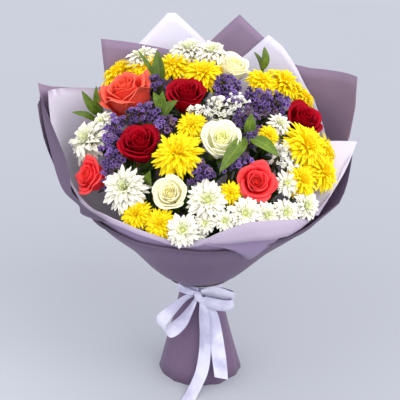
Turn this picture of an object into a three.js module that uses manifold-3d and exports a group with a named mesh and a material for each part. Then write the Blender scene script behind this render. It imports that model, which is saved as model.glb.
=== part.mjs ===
// A hand-tied mixed bouquet that stands on its cut stems: roses, yellow and white spray chrysanthemums,
// purple and white statice and leafy stems, wrapped in two-tone paper and tied with a satin ribbon.
// Millimetres. +Z is up, +X is the right and -Y is the face of the bouquet. The origin is the middle of
// the cut face of the centre stem, on the table under the binding point.

import * as THREE from 'three';
import { mergeVertices } from 'three/addons/utils/BufferGeometryUtils.js';
import Module from 'manifold-3d';

const wasm = await Module();
wasm.setup();

// Driving dimensions.

// The stems are bound here, and splay to their cut ends below and to the blooms above.
const BINDING_HEIGHT = 119;
const BINDING_HALF = 10;
const BUNDLE_RADIUS = 19.8;
const BINDING_WALL = 1.5;
const FOOT_SPREAD = 2.3;
const FOOT_TWIST = THREE.MathUtils.degToRad(-28);
const ROSE_STEM = 2.8;
const SPRAY_STEM = 2.4;
const PEDICEL = 1.6;
const TWIG = 1.1;
const FLORET = 4;
const LEAF = 1;
const LEAF_STALK = 1.1;
const CENTRE_STEM = 'rose_red_top';
const STEM_LEVELS = [158, 208, 270];
const STEM_GAP = 0.4;
const LEVEL_GAP = 2.4;
const SLOT_SHARE = 0.185;
const CLEARANCE = 0.4;

// How deep a bloom of a kind is behind its face, for its radius, and the size of a full chrysanthemum.
const ROSE_DEPTH = 1.45;
const MUM_DEPTH = 0.75;
const FULL_MUM = 20.5;

// The blooms lie on a dome that leans towards the face.
const DOME_CENTRE = new THREE.Vector3(0, -10, 290);
const DOME_HALF_WIDTH = 165;
const DOME_HALF_LENGTH = 185;
const DOME_DEPTH = 75;
const DOME_LEAN = THREE.MathUtils.degToRad(42.4);

// The paper.
const PAPER = 0.8;
const SHELL_PITCH_LOW = 1.3;
const SHELL_PITCH_RISE = 0.009;
const WAIST_RADIUS = 22.5;
const WAIST_LOW = 109;
const WAIST_HIGH = 128;
const SKIRT_RADIUS = 50;
const COLUMN_STEP = 15;
const PLAN_POWER = 2.3;
const STEEP_STEP = 4;
const OUTER_SHELL = 4;
const FRONT_SHELL = 1.3;
const WIDE_LIP = 9;

// The ribbon.
const RIBBON_WIDTH = 20;
const RIBBON = 0.9;

const COLOURS = {
  coral: 0xe8452f,
  red: 0x9c0618,
  white: 0xf3f0dc,
  cream: 0xf0e4b8,
  yellow: 0xf8d800,
  whiteMum: 0xf6f4ec,
  statice: 0x5a43a0,
  whiteStatice: 0xece8d8,
  green: 0x4f7a22,
  leaf: 0x5a8a26,
  mauve: 0x715f7c,
  lilac: 0xd5cbe6,
  raffia: 0xc8b078,
  satin: 0xd9d6ee,
};

// Each rose: name, colour, middle of its face, radius of the open bloom, and how far it looks aside.
const ROSES = [
  { name: 'coral_upper_left', colour: 'coral', at: [-94, 16, 386], radius: 32, aside: [-0.1, 0, 0] },
  { name: 'coral_left_edge', colour: 'coral', at: [-135, -61, 298], radius: 22, aside: [-0.45, 0, 0] },
  { name: 'coral_lower_right', colour: 'coral', at: [67, -95, 303], radius: 26, aside: [0, 0, 0] },
  { name: 'red_top', colour: 'red', at: [-17, -9, 389], radius: 26, aside: [0, 0, 0.1] },
  { name: 'red_left', colour: 'red', at: [-74, -54, 338], radius: 26, aside: [0.1, 0, 0] },
  { name: 'red_right_edge', colour: 'red', at: [131, 1, 353], radius: 24.5, aside: [-0.2, 0, 0] },
  { name: 'white_centre', colour: 'white', at: [26, -63, 344], radius: 25, aside: [0, 0, 0] },
  { name: 'cream_lower', colour: 'cream', at: [-36, -109, 291], radius: 22.5, aside: [0, 0, 0] },
  { name: 'cream_top', colour: 'cream', at: [43, 42, 411], radius: 23.5, aside: [0.1, 0, 0] },
];

// Each spray of chrysanthemums: its blooms as middle of the face and radius.
const CHRYSANTHEMUMS = [
  { name: 'yellow_centre', colour: 'yellow', blooms: [[-26, -80, 331, 27], [-10, -46, 356, 17]] },
  { name: 'yellow_top', colour: 'yellow',
    blooms: [[-104, 69, 394, 23], [-67, 52, 405, 20], [-33, 44, 410, 20], [4, 26, 404, 21]] },
  { name: 'yellow_top_right', colour: 'yellow',
    blooms: [[78, 27, 394, 16.5], [108, 43, 388, 22], [135, 42, 369, 15]] },
  { name: 'yellow_right_edge', colour: 'yellow',
    blooms: [[130, -43, 329, 24], [158, -10, 312, 20], [150, -54, 299, 19], [122, -78, 296, 17]] },
  { name: 'yellow_right_middle', colour: 'yellow', blooms: [[83, -47, 344, 13]] },
  { name: 'yellow_lower_left', colour: 'yellow', blooms: [[-76, -118, 266, 17.5], [-47, -130, 260, 17]] },
  { name: 'yellow_lower', colour: 'yellow', blooms: [[36, -107, 291, 13]] },
  { name: 'white_left_edge', colour: 'whiteMum', blooms: [[-139, -22, 330, 27], [-121, -14, 352, 14]] },
  { name: 'white_middle', colour: 'whiteMum', blooms: [[-89, -95, 292, 25]] },
  { name: 'white_lower_left', colour: 'whiteMum',
    blooms: [[-20, -137, 256, 18], [-6, -131, 247, 12], [5.7, -130, 262, 12]] },
  { name: 'white_lower_middle', colour: 'whiteMum',
    blooms: [[9, -114.3, 285, 22], [29, -129, 264, 13], [53, -124, 272, 18]] },
  { name: 'white_lower_right', colour: 'whiteMum',
    blooms: [[79, -117, 267, 16], [102, -109, 267, 17.5], [128, -94, 270, 18], [101, -92, 294, 13]] },
  { name: 'white_top', colour: 'whiteMum', blooms: [[-14, 76, 422, 20], [14, 66, 421, 18]] },
  { name: 'white_top_left', colour: 'whiteMum', blooms: [[-75, 83, 411, 19]] },
  { name: 'white_right', colour: 'whiteMum', shift: [0, -14, 0], blooms: [[98, -27, 352, 14]] },
];

// Each spray of statice: clusters of florets as middle, radius and number.
const STATICE = [
  { name: 'purple_left', colour: 'statice', shift: [8, -16, -8],
    clusters: [[-110, -44, 336, 12, 8], [-112, -74, 304, 13, 8]] },
  { name: 'purple_upper_left', colour: 'statice', clusters: [[-84, -20, 366, 13, 8], [-62, -24, 368, 6, 4]] },
  { name: 'purple_top_left', colour: 'statice', clusters: [[-60, 16, 394, 9, 6]] },
  { name: 'purple_inner_left', colour: 'statice', clusters: [[-44, -42, 358, 8, 5]] },
  { name: 'purple_top', colour: 'statice', clusters: [[33, 7, 398, 12, 8]] },
  { name: 'purple_right', colour: 'statice', clusters: [[74, -6, 381, 19, 10], [102, 4, 372, 12, 6]] },
  { name: 'purple_middle', colour: 'statice', clusters: [[57, -33, 362, 12, 8]] },
  { name: 'purple_lower', colour: 'statice', shift: [0, 0.6, 0], clusters: [[3, -93.5, 308.5, 9.5, 6]] },
  { name: 'purple_low_right', colour: 'statice', clusters: [[50, -82, 320, 7, 5]] },
  { name: 'white_centre', colour: 'whiteStatice', clusters: [[22, -27, 376, 14, 8]] },
  { name: 'white_right', colour: 'whiteStatice', clusters: [[100, -60, 326, 10, 6], [109, -73, 309, 7, 4]] },
];

// Each leafy stem: leaves as root, length, half width, the way the leaf points and how it turns.
const LEAFY = [
  { name: 'upper_left', leaves: [
    { root: [-128, 14, 352], to: [-148, 4, 386], half: 6 },
    { root: [-124, 18, 356], to: [-132, 12, 390], half: 6 },
    { root: [-130, 8, 346], to: [-160, 0, 362], half: 5 },
    { root: [-126, 20, 352], to: [-128, 40, 386], half: 5 }] },
  { name: 'top_left', leaves: [
    { root: [-50, 22, 392], to: [-54, 26, 434], half: 8 },
    { root: [-53, 24, 392], to: [-78, 36, 432], half: 3 }] },
  { name: 'inner_left', leaves: [
    { root: [-46, -22, 362], to: [-46, -30, 394], half: 7 },
    { root: [-44, -18, 360], to: [-58, -4, 388], half: 6 }] },
  { name: 'middle', leaves: [
    { root: [56, -58, 344], to: [32, -92, 332], half: 8 },
    { root: [60, -58, 344], to: [84, -76, 334], half: 7 },
    { root: [58, -54, 346], to: [60, -56, 374], half: 6 }] },
  { name: 'lower_left', shift: [6, 0, 4], leaves: [{ root: [-60, -86, 292], to: [-60, -104, 316], half: 6 }] },
  { name: 'top_right', leaves: [
    { root: [82, 56, 402], to: [84, 58, 432], half: 6 },
    { root: [82, 58, 398], to: [72, 70, 424], half: 5 }] },
];

/** A manifold solid from a geometry: vertices merged, flat triangles dropped, faces turned out. */
function solid(geometry) {
  const bare = geometry.clone();
  bare.deleteAttribute('normal');
  bare.deleteAttribute('uv');
  const merged = mergeVertices(bare, 1e-3);
  const index = merged.index.array;
  const faces = [];
  for (let i = 0; i < index.length; i += 3) {
    const [a, b, c] = [index[i], index[i + 1], index[i + 2]];
    if (a !== b && b !== c && a !== c) faces.push(a, b, c);
  }
  const vertProperties = new Float32Array(merged.getAttribute('position').array);
  const make = () => new wasm.Manifold(new wasm.Mesh({ numProp: 3, vertProperties, triVerts: new Uint32Array(faces) }));
  let made = make();
  if (made.volume() < 0) {
    for (let i = 0; i < faces.length; i += 3) [faces[i + 1], faces[i + 2]] = [faces[i + 2], faces[i + 1]];
    made = make();
  }
  return made;
}

/** One solid from several that overlap, without any scrap that a crossing cut loose. */
function fuse(solids) {
  const joined = solids.reduce((sum, next) => sum.add(next));
  const bodies = joined.decompose();
  return bodies.reduce((best, next) => (next.volume() > best.volume() ? next : best));
}

/** A named mesh for a solid. */
function node(name, made, colour, roughness = 0.7) {
  const mesh = made.getMesh();
  const geometry = new THREE.BufferGeometry();
  const points = new Float32Array(mesh.numVert * 3);
  for (let i = 0; i < mesh.numVert; i++) {
    for (let k = 0; k < 3; k++) points[3 * i + k] = mesh.vertProperties[mesh.numProp * i + k];
  }
  geometry.setAttribute('position', new THREE.BufferAttribute(points, 3));
  geometry.setIndex(new THREE.BufferAttribute(mesh.triVerts, 1));
  geometry.computeVertexNormals();
  const material = new THREE.MeshStandardMaterial({ color: COLOURS[colour], roughness, metalness: 0 });
  const made3 = new THREE.Mesh(geometry, material);
  made3.name = name;
  return made3;
}

/** The way the dome faces at a point on it. */
function domeNormal(point) {
  const across = new THREE.Vector3(1, 0, 0);
  const along = new THREE.Vector3(0, Math.cos(DOME_LEAN), Math.sin(DOME_LEAN));
  const out = new THREE.Vector3(0, -Math.sin(DOME_LEAN), Math.cos(DOME_LEAN));
  const from = point.clone().sub(DOME_CENTRE);
  return new THREE.Vector3()
    .addScaledVector(across, from.dot(across) / DOME_HALF_WIDTH ** 2)
    .addScaledVector(along, from.dot(along) / DOME_HALF_LENGTH ** 2)
    .addScaledVector(out, from.dot(out) / DOME_DEPTH ** 2)
    .normalize();
}

/** Puts a geometry that stands on +Z at a point, looking along an axis, turned about it by spin. */
function place(geometry, at, axis, spin = 0) {
  const turn = new THREE.Quaternion().setFromUnitVectors(new THREE.Vector3(0, 0, 1), axis);
  turn.multiply(new THREE.Quaternion().setFromAxisAngle(new THREE.Vector3(0, 0, 1), spin));
  return geometry.applyMatrix4(new THREE.Matrix4().compose(at, turn, new THREE.Vector3(1, 1, 1)));
}

/** A lathed body whose rings wave: ring(j, column) gives [radius, height], and the end rings are poles. */
function ringBody(rings, columns, ring, angleOf) {
  const profile = Array.from({ length: rings }, (_, j) => new THREE.Vector2(1, j));
  const geometry = new THREE.LatheGeometry(profile, columns);
  const position = geometry.getAttribute('position');
  for (let i = 0; i <= columns; i++) {
    const column = i % columns;
    const angle = angleOf(column);
    for (let j = 0; j < rings; j++) {
      const [radius, height] = ring(j, column);
      position.setXYZ(i * rings + j, radius * Math.cos(angle), radius * Math.sin(angle), height);
    }
  }
  return geometry;
}

/** A rose: five petals to a whorl, each whorl a wavy wall, each petal's free edge lying over the next. */
function roseHead(radius) {
  const petals = 5;
  const steps = [0, 0.45, 0.92];
  const columns = petals * steps.length;
  const depth = ROSE_DEPTH * radius;
  // Whorls from the outside in: share of the radius, height of the rim, dip inside, and turn.
  const whorls = [
    { reach: 1.0, rim: -0.08, dip: -0.42, inner: 0.68, turn: 0 },
    { reach: 0.72, rim: 0.1, dip: -0.24, inner: 0.42, turn: 0.5 },
    { reach: 0.44, rim: 0.15, dip: -0.06, inner: 0, turn: 0.25 },
  ];
  const ring = (j, column) => {
    const share = steps[column % steps.length];
    if (j === 0) return [0, -depth];
    if (j === 1) return [0.3 * radius, -0.9 * depth];
    if (j === 2) return [0.8 * radius, -0.45 * depth];
    const whorl = whorls[Math.floor((j - 3) / 2)];
    if ((j - 3) % 2 === 1) return [whorl.inner * radius, whorl.dip * radius];
    const part = (share + whorl.turn) % 1;
    const arch = Math.sin(Math.PI * part);
    return [radius * whorl.reach * (1.03 - 0.13 * part), radius * (whorl.rim + 0.1 * arch)];
  };
  const angleOf = (column) => {
    const petal = Math.floor(column / steps.length);
    return ((petal + steps[column % steps.length]) * 2 * Math.PI) / petals;
  };
  return ringBody(3 + 2 * whorls.length, columns, ring, angleOf);
}

/** A chrysanthemum: stars of pointed petals, one above the other, each turned by half a petal. */
function mumHead(radius) {
  const full = radius >= FULL_MUM;
  const petals = full ? 8 : 6;
  const columns = 2 * petals;
  const depth = MUM_DEPTH * radius;
  // Whorls from the outside in: tip radius and height, and the ring where the petals meet above it.
  const whorls = [
    { tip: 1.0, rise: -0.2, root: 0.3, sit: -0.24 },
    { tip: 0.86, rise: 0.08, root: 0.24, sit: -0.12 },
    { tip: 0.55, rise: 0.2, root: 0.12, sit: 0.02 },
  ].slice(full ? 0 : 1);
  const notch = 0.68;
  const ring = (j, column) => {
    if (j === 0) return [0, -depth];
    if (j === 2 * whorls.length + 1) return [0, 0.06 * radius];
    const k = Math.floor((j - 1) / 2);
    const whorl = whorls[k];
    if ((j - 1) % 2 === 1) return [whorl.root * radius, whorl.sit * radius];
    const under = k === 0 ? { root: 0, sit: -MUM_DEPTH } : whorls[k - 1];
    const reach = (column + k) % 2 === 0 ? 1 : notch;
    return [
      radius * (under.root + (whorl.tip - under.root) * reach),
      radius * (under.sit + (whorl.rise - under.sit) * reach),
    ];
  };
  const angleOf = (column) => (column * 2 * Math.PI) / columns;
  return ringBody(2 * whorls.length + 2, columns, ring, angleOf);
}

/** The green calyx under a rose: a small cup with five pointed sepals that bend away. */
function calyx(radius) {
  const ring = (j, column) => {
    const reach = column % 2 === 0 ? 1 : 0.3;
    if (j === 0) return [0, -0.42 * radius];
    if (j === 1) return [0.2 * radius, -0.3 * radius];
    if (j === 2) return [radius * (0.2 + 0.45 * reach), radius * (-0.1 - 0.14 * reach)];
    if (j === 3) return [0.24 * radius, 0];
    return [0, 0];
  };
  return ringBody(5, 10, ring, (column) => (column * 2 * Math.PI) / 10);
}

/** A path that passes its stations at even steps, and is upright at its first one. */
class Stations extends THREE.Curve {
  constructor(stations) {
    super();
    this.stations = stations;
  }

  getPoint(t, target = new THREE.Vector3()) {
    const last = this.stations.length - 1;
    const i = Math.min(Math.floor(t * last), last - 1);
    return target.lerpVectors(this.stations[i], this.stations[i + 1], t * last - i);
  }

  getPointAt(t, target) {
    return this.getPoint(t, target);
  }

  getTangentAt(t, target = new THREE.Vector3()) {
    const last = this.stations.length - 1;
    const i = Math.round(t * last);
    if (i === 0 && this.upright) return target.set(0, 0, 1);
    const before = this.stations[Math.max(0, i - 1)];
    const after = this.stations[Math.min(last, i + 1)];
    return target.subVectors(after, before).normalize();
  }
}

/** A round stem through its stations. */
function stem(stations, radius, sides, upright = false) {
  const path = new Stations(stations);
  path.upright = upright;
  const section = new THREE.Shape();
  for (let i = 0; i < sides; i++) {
    const angle = (i * 2 * Math.PI) / sides;
    section[i ? 'lineTo' : 'moveTo'](radius * Math.cos(angle), radius * Math.sin(angle));
  }
  section.closePath();
  return new THREE.ExtrudeGeometry(section, {
    steps: stations.length - 1, extrudePath: path, bevelEnabled: false, curveSegments: 1,
  });
}

/** The way a bloom at a point looks, with its lean aside. */
function bloomAxis(at, aside = [0, 0, 0]) {
  return domeNormal(at).add(new THREE.Vector3(...aside)).normalize();
}

/** Moves points apart, in place, until none is nearer to another than their radii allow. */
function spread(points, radii, gap, limit = Infinity) {
  for (let round = 0; round < 600; round++) {
    points.forEach((a, i) => {
      if (limit < Infinity) a.multiplyScalar(0.992);
      for (let j = i + 1; j < points.length; j++) {
        const apart = points[j].clone().sub(a);
        const short = radii[i] + radii[j] + gap - apart.length();
        if (short <= 0) continue;
        apart.normalize().multiplyScalar(short / 2);
        a.sub(apart);
        points[j].add(apart);
      }
    });
    if (limit < Infinity) {
      points[0].set(0, 0);
      points.forEach((a, i) => a.clampLength(0, limit - radii[i]));
    }
  }
}

/** Where a stem's bent path from its slot to its top passes a height. */
function pathAt(slot, top, height) {
  const low = new THREE.Vector3(slot.x, slot.y, BINDING_HEIGHT + BINDING_HALF);
  const control = new THREE.Vector3(slot.x, slot.y, BINDING_HEIGHT + 4 * BINDING_HALF);
  const points = new THREE.QuadraticBezierCurve3(low, control, top).getPoints(30);
  const levels = points.map((p) => p.z);
  return new THREE.Vector2(
    atLevel(levels, points.map((p) => p.x), height), atLevel(levels, points.map((p) => p.y), height));
}

/** The stations of every stem: cut end, binding, and the levels up to its top, with none touching. */
function layStems(stems) {
  const radii = stems.map((s) => s.radius);
  const slots = stems.map((s) => new THREE.Vector2(s.top.x, s.top.y).multiplyScalar(SLOT_SHARE));
  spread(slots, radii, STEM_GAP, BUNDLE_RADIUS - CLEARANCE);
  stems.forEach((s, i) => {
    const foot = slots[i].clone().multiplyScalar(FOOT_SPREAD).rotateAround(new THREE.Vector2(), FOOT_TWIST);
    s.stations = [
      new THREE.Vector3(foot.x, foot.y, 0),
      new THREE.Vector3(slots[i].x, slots[i].y, BINDING_HEIGHT - BINDING_HALF),
      new THREE.Vector3(slots[i].x, slots[i].y, BINDING_HEIGHT + BINDING_HALF),
    ];
  });
  for (const level of STEM_LEVELS) {
    const reaching = stems.filter((s) => s.top.z > level + 12);
    const points = reaching.map((s) => pathAt(slots[stems.indexOf(s)], s.top, level));
    spread(points, reaching.map((s) => s.radius), LEVEL_GAP);
    reaching.forEach((s, i) => s.stations.push(new THREE.Vector3(points[i].x, points[i].y, level)));
  }
  for (const s of stems) s.stations.push(s.top);
}

/** The mean of some points given as [x, y, z, ...]. */
function meanOf(points) {
  const sum = new THREE.Vector3();
  for (const [x, y, z] of points) sum.add(new THREE.Vector3(x, y, z));
  return sum.divideScalar(points.length);
}

/** Every stem of the bouquet, the centre one first. */
function listStems() {
  const stems = ROSES.map((rose) => {
    const at = new THREE.Vector3(...rose.at);
    const top = at.clone().addScaledVector(bloomAxis(at, rose.aside), -ROSE_DEPTH * rose.radius - CLEARANCE);
    return { key: 'rose_' + rose.name, radius: ROSE_STEM, top };
  });
  const spray = (key, points, drop, shift = [0, 0, 0]) => {
    const middle = meanOf(points);
    const top = middle.clone().addScaledVector(domeNormal(middle), -drop).add(new THREE.Vector3(...shift));
    stems.push({ key, radius: SPRAY_STEM, top });
  };
  for (const s of CHRYSANTHEMUMS) spray('mum_' + s.name, s.blooms, s.drop ?? 62, s.shift);
  for (const s of STATICE) spray('statice_' + s.name, s.clusters, s.drop ?? 46, s.shift);
  for (const s of LEAFY) spray('leafy_' + s.name, s.leaves.map((leaf) => leaf.root), s.drop ?? 20, s.shift);
  stems.sort((a, b) => (b.key === CENTRE_STEM) - (a.key === CENTRE_STEM));
  layStems(stems);
  return new Map(stems.map((s) => [s.key, s]));
}

/** A point on a stem's last stretch, so far below its top. */
function alongStem(stations, drop) {
  const [below, top] = stations.slice(-2);
  return top.clone().lerp(below, Math.min(0.9, drop / top.distanceTo(below)));
}

function roses(stems) {
  return ROSES.flatMap((rose, i) => {
    const at = new THREE.Vector3(...rose.at);
    const axis = bloomAxis(at, rose.aside);
    const { top, stations } = stems.get('rose_' + rose.name);
    const sunk = top.clone().addScaledVector(axis, -0.16 * rose.radius);
    const stalk = solid(stem([...stations.slice(0, -1), sunk], ROSE_STEM, 5, true));
    const cup = solid(place(calyx(rose.radius * 0.9), top, axis, i));
    return [
      node('rose_' + rose.name + '_head', solid(place(roseHead(rose.radius), at, axis, i)), rose.colour),
      node('rose_' + rose.name + '_stem', fuse([stalk, cup]), 'green'),
    ];
  });
}

function chrysanthemums(stems) {
  return CHRYSANTHEMUMS.map((spray) => {
    const { top, stations } = stems.get('mum_' + spray.name);
    const parts = [solid(stem(stations, SPRAY_STEM, 4, true))];
    spray.blooms.forEach(([x, y, z, radius], i) => {
      const at = new THREE.Vector3(x, y, z);
      const axis = bloomAxis(at);
      const base = at.clone().addScaledVector(axis, -0.9 * MUM_DEPTH * radius);
      parts.push(solid(stem([alongStem(stations, 2 + 11 * i), base], PEDICEL, 3)));
      parts.push(solid(place(mumHead(radius), at, axis, i)));
    });
    return node('chrysanthemum_' + spray.name, fuse(parts), spray.colour);
  });
}

/** True where a point is in or close to a bloom. */
function inBloom(point, margin) {
  const blooms = [
    ...ROSES.map((r) => ({ at: r.at, radius: r.radius, aside: r.aside, depth: ROSE_DEPTH })),
    ...CHRYSANTHEMUMS.flatMap((s) => s.blooms.map((b) => ({ at: b.slice(0, 3), radius: b[3], depth: MUM_DEPTH }))),
  ];
  return blooms.some(({ at, radius, aside, depth }) => {
    const middle = new THREE.Vector3(...at);
    const axis = bloomAxis(middle, aside);
    const from = point.clone().sub(middle);
    const high = from.dot(axis);
    const wide = from.addScaledVector(axis, -high).length();
    const taper = THREE.MathUtils.clamp(1 + (high + 0.5 * depth * radius) / (0.6 * depth * radius), 0.3, 1);
    return high > -depth * radius - margin && high < 0.3 * radius + margin && wide < taper * radius + margin;
  });
}

/** A statice floret on its own branchlet: a thin stalk that opens into a papery funnel. */
function floret(length) {
  const ring = (j) => [[0, -length], [TWIG, -7], [FLORET, 0], [0, -3]][j];
  return ringBody(4, 4, ring, (column) => (column * Math.PI) / 2);
}

/** Statice: branchlets that end in papery funnels, in flat clusters between the blooms. */
function statice(stems) {
  const turn = Math.PI * (3 - Math.sqrt(5));
  return STATICE.map((spray) => {
    const { top, stations } = stems.get('statice_' + spray.name);
    const parts = [solid(stem(stations, SPRAY_STEM, 4, true))];
    spray.clusters.forEach(([x, y, z, reach, count], k) => {
      const middle = new THREE.Vector3(x, y, z);
      const axis = domeNormal(middle);
      const fork = middle.clone().addScaledVector(axis, -20);
      const crown = middle.clone().addScaledVector(axis, -6);
      parts.push(solid(stem([alongStem(stations, 2 + 9 * k), fork, crown], PEDICEL, 3)));
      const side = new THREE.Vector3(1, 0, 0).cross(axis).normalize();
      const other = axis.clone().cross(side);
      for (let i = 0; i < count; i++) {
        const away = reach * Math.sqrt((i + 0.5) / count);
        const tip = middle.clone()
          .addScaledVector(side, away * Math.cos(i * turn))
          .addScaledVector(other, away * Math.sin(i * turn))
          .addScaledVector(axis, 4 - 0.02 * away * away + 3 * Math.sin(2.4 * i));
        if (inBloom(tip, 4.2)) continue;
        const base = fork.clone().addScaledVector(axis, 13 * (1 - (i + 0.5) / count));
        const way = tip.clone().sub(base).normalize();
        parts.push(solid(place(floret(tip.distanceTo(base)), tip, way, i)));
      }
    });
    return node('statice_' + spray.name, fuse(parts), spray.colour);
  });
}

/** A leaf on its stalk: from the stem to the root of the blade, then an oval blade folded along its rib. */
function leafBlade(start, root, tip, half, facing) {
  const along = tip.clone().sub(root);
  const length = along.length();
  along.normalize();
  const across = along.clone().cross(facing).normalize();
  const up = across.clone().cross(along).normalize();
  const widths = [LEAF_STALK, LEAF_STALK, 0.85 * half, half, 0.3];
  const shares = [0, 0, 0.3, 0.62, 1];
  return sheet(2, 4, LEAF, (u, v) => {
    const row = Math.round(v * 4);
    const side = 2 * u - 1;
    const width = widths[row];
    const base = row === 0 ? start.clone() : root.clone().addScaledVector(along, length * shares[row]);
    const fold = row < 2 ? 0 : 0.22 * Math.abs(side) * width;
    return base
      .addScaledVector(across, side * width)
      .addScaledVector(up, fold + 0.1 * length * Math.sin(Math.PI * shares[row]));
  }, () => up.clone());
}

function leafyStems(stems) {
  return LEAFY.map((spray) => {
    const { top, stations } = stems.get('leafy_' + spray.name);
    const parts = [solid(stem(stations, SPRAY_STEM, 4, true))];
    spray.leaves.forEach((leaf, i) => {
      const root = new THREE.Vector3(...leaf.root);
      const tip = new THREE.Vector3(...leaf.to);
      parts.push(solid(leafBlade(alongStem(stations, 1 + 5 * i), root, tip, leaf.half, domeNormal(tip))));
    });
    return node('leafy_stem_' + spray.name, fuse(parts), 'leaf');
  });
}

/** A closed sheet: a plane's grid laid on place(u, v), with two faces split alike and a rim between them. */
function sheet(across, along, thickness, placeOf, normalOf) {
  const step = 1e-3;
  const normal = normalOf ?? ((u, v) => {
    const [u0, v0] = [Math.min(u, 1 - step), Math.min(v, 1 - step)];
    const du = placeOf(u0 + step, v).sub(placeOf(u0, v));
    const dv = placeOf(u, v0 + step).sub(placeOf(u, v0));
    return du.cross(dv).normalize();
  });
  const grid = new THREE.PlaneGeometry(1, 1, across, along);
  const count = grid.getAttribute('position').count;
  const face = [...grid.index.array];
  const points = new Float32Array(6 * count);
  for (let i = 0; i < count; i++) {
    const u = (i % (across + 1)) / across;
    const v = Math.floor(i / (across + 1)) / along;
    const middle = placeOf(u, v);
    const off = normal(u, v).multiplyScalar(thickness / 2);
    middle.clone().add(off).toArray(points, 3 * i);
    middle.clone().sub(off).toArray(points, 3 * (count + i));
  }
  const under = [];
  for (let i = 0; i < face.length; i += 3) under.push(face[i] + count, face[i + 2] + count, face[i + 1] + count);
  const rim = [];
  const border = [];
  for (let i = 0; i < across; i++) border.push([i + 1, i]);
  for (let j = 0; j < along; j++) border.push([j * (across + 1), (j + 1) * (across + 1)]);
  for (let i = 0; i < across; i++) border.push([along * (across + 1) + i, along * (across + 1) + i + 1]);
  for (let j = 0; j < along; j++) border.push([(j + 2) * (across + 1) - 1, (j + 1) * (across + 1) - 1]);
  for (const [a, b] of border) rim.push(a, a + count, b, b, a + count, b + count);
  const geometry = new THREE.BufferGeometry();
  geometry.setAttribute('position', new THREE.BufferAttribute(points, 3));
  geometry.setIndex([...face, ...under, ...rim]);
  return geometry;
}

// Height against reach of the paper bowl, at its front, back, left and right.
const BOWL_LEVELS = [WAIST_HIGH, 134, 156, 196, 238, 290, 350, 410, 470];
const BOWL_FRONT = [0, 3, 36, 77, 116, 124, 128, 131, 133];
const BOWL_BACK = [0, 2, 17, 33, 49, 63, 74, 82, 87];
const BOWL_LEFT = [0, 3, 31, 69, 110, 146, 162, 169, 172];
const BOWL_RIGHT = [0, 3, 31, 69, 109, 143, 161, 167, 170];

/** A value read from a table of levels, in straight steps. */
function atLevel(levels, values, level) {
  const k = levels.findIndex((l) => level <= l);
  if (k === 0) return values[0];
  if (k < 0) return values.at(-1);
  const share = (level - levels[k - 1]) / (levels[k] - levels[k - 1]);
  return THREE.MathUtils.lerp(values[k - 1], values[k], share);
}

/** The radius of the innermost paper at a plan angle in degrees and a height. */
function bowlRadius(angle, height) {
  if (height < WAIST_LOW) return WAIST_RADIUS + (SKIRT_RADIUS - WAIST_RADIUS) * (1 - height / WAIST_LOW);
  if (height < WAIST_HIGH) return WAIST_RADIUS;
  const plan = THREE.MathUtils.degToRad(angle);
  const [c, s] = [Math.cos(plan), Math.sin(plan)];
  const side = WAIST_RADIUS + atLevel(BOWL_LEVELS, c < 0 ? BOWL_LEFT : BOWL_RIGHT, height);
  const face = WAIST_RADIUS + atLevel(BOWL_LEVELS, s < 0 ? BOWL_FRONT : BOWL_BACK, height);
  const power = THREE.MathUtils.lerp(2, PLAN_POWER, THREE.MathUtils.smoothstep(height, WAIST_HIGH, 236));
  return (Math.abs(c / side) ** power + Math.abs(s / face) ** power) ** (-1 / power);
}

/** A point on the paper bowl, on one of its nested shells. */
function bowlPoint(angle, height, shell) {
  const plan = THREE.MathUtils.degToRad(angle);
  const at = (a, h) => {
    const r = bowlRadius(a, h);
    const p = THREE.MathUtils.degToRad(a);
    return new THREE.Vector3(r * Math.cos(p), r * Math.sin(p), h);
  };
  const rise = at(angle, height + STEEP_STEP).sub(at(angle, height));
  const steep = Math.max(0.35, rise.z / rise.length());
  const pitch = SHELL_PITCH_LOW + SHELL_PITCH_RISE * Math.max(0, height - WAIST_HIGH);
  const reach = bowlRadius(angle, height) + (shell * pitch) / steep;
  return new THREE.Vector3(reach * Math.cos(plan), reach * Math.sin(plan), height);
}

// The papers, innermost first: shell, plan angles, the height of its foot, and its top edge as
// [plan angle, height] from corner to corner. `lip` is how far the front edge turns out.
const PAPERS = [
  { name: 'lining_front', colour: 'lilac', shell: 0, foot: WAIST_LOW + 2, lip: 10,
    top: [[140, 368], [150, 373], [165, 381], [180, 388], [186, 352], [195, 300], [210, 256], [240, 239], [270, 237],
      [300, 246], [330, 256], [345, 268], [352, 292], [360, 326]] },
  { name: 'lining_right', colour: 'lilac', shell: 1, foot: WAIST_LOW + 2, lip: 0,
    top: [[-6, 296], [4, 306], [12, 328], [22, 376], [30, 400], [48, 440], [58, 416], [80, 372]] },
  { name: 'panel_upper_left', colour: 'mauve', shell: 1, foot: WAIST_LOW + 2, lip: 0,
    top: [[107, 417], [146, 437]] },
  { name: 'peak_mauve', colour: 'mauve', shell: 2, foot: WAIST_LOW + 2, lip: 0,
    top: [[42, 418], [52, 437], [65, 465], [88, 419]] },
  { name: 'peak_lilac', colour: 'lilac', shell: 2, foot: WAIST_LOW + 2, lip: 0,
    top: [[90, 415], [106, 467], [111, 467], [128, 429], [138, 407]] },
  { name: 'wrap_back', colour: 'mauve', shell: 3, foot: 0, lip: 0,
    top: [[0, 330], [6, 401], [30, 399], [60, 412], [90, 402], [120, 400], [150, 370], [168, 384], [180, 398]] },
  { name: 'wrap_front', colour: 'mauve', shell: 4, foot: 0, lip: 3,
    top: [[176, 376], [182, 372], [187, 335], [195, 288], [210, 250], [240, 233], [270, 229], [300, 232],
      [330, 238], [345, 252], [352, 282], [360, 318], [364, 322]] },
];

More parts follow.
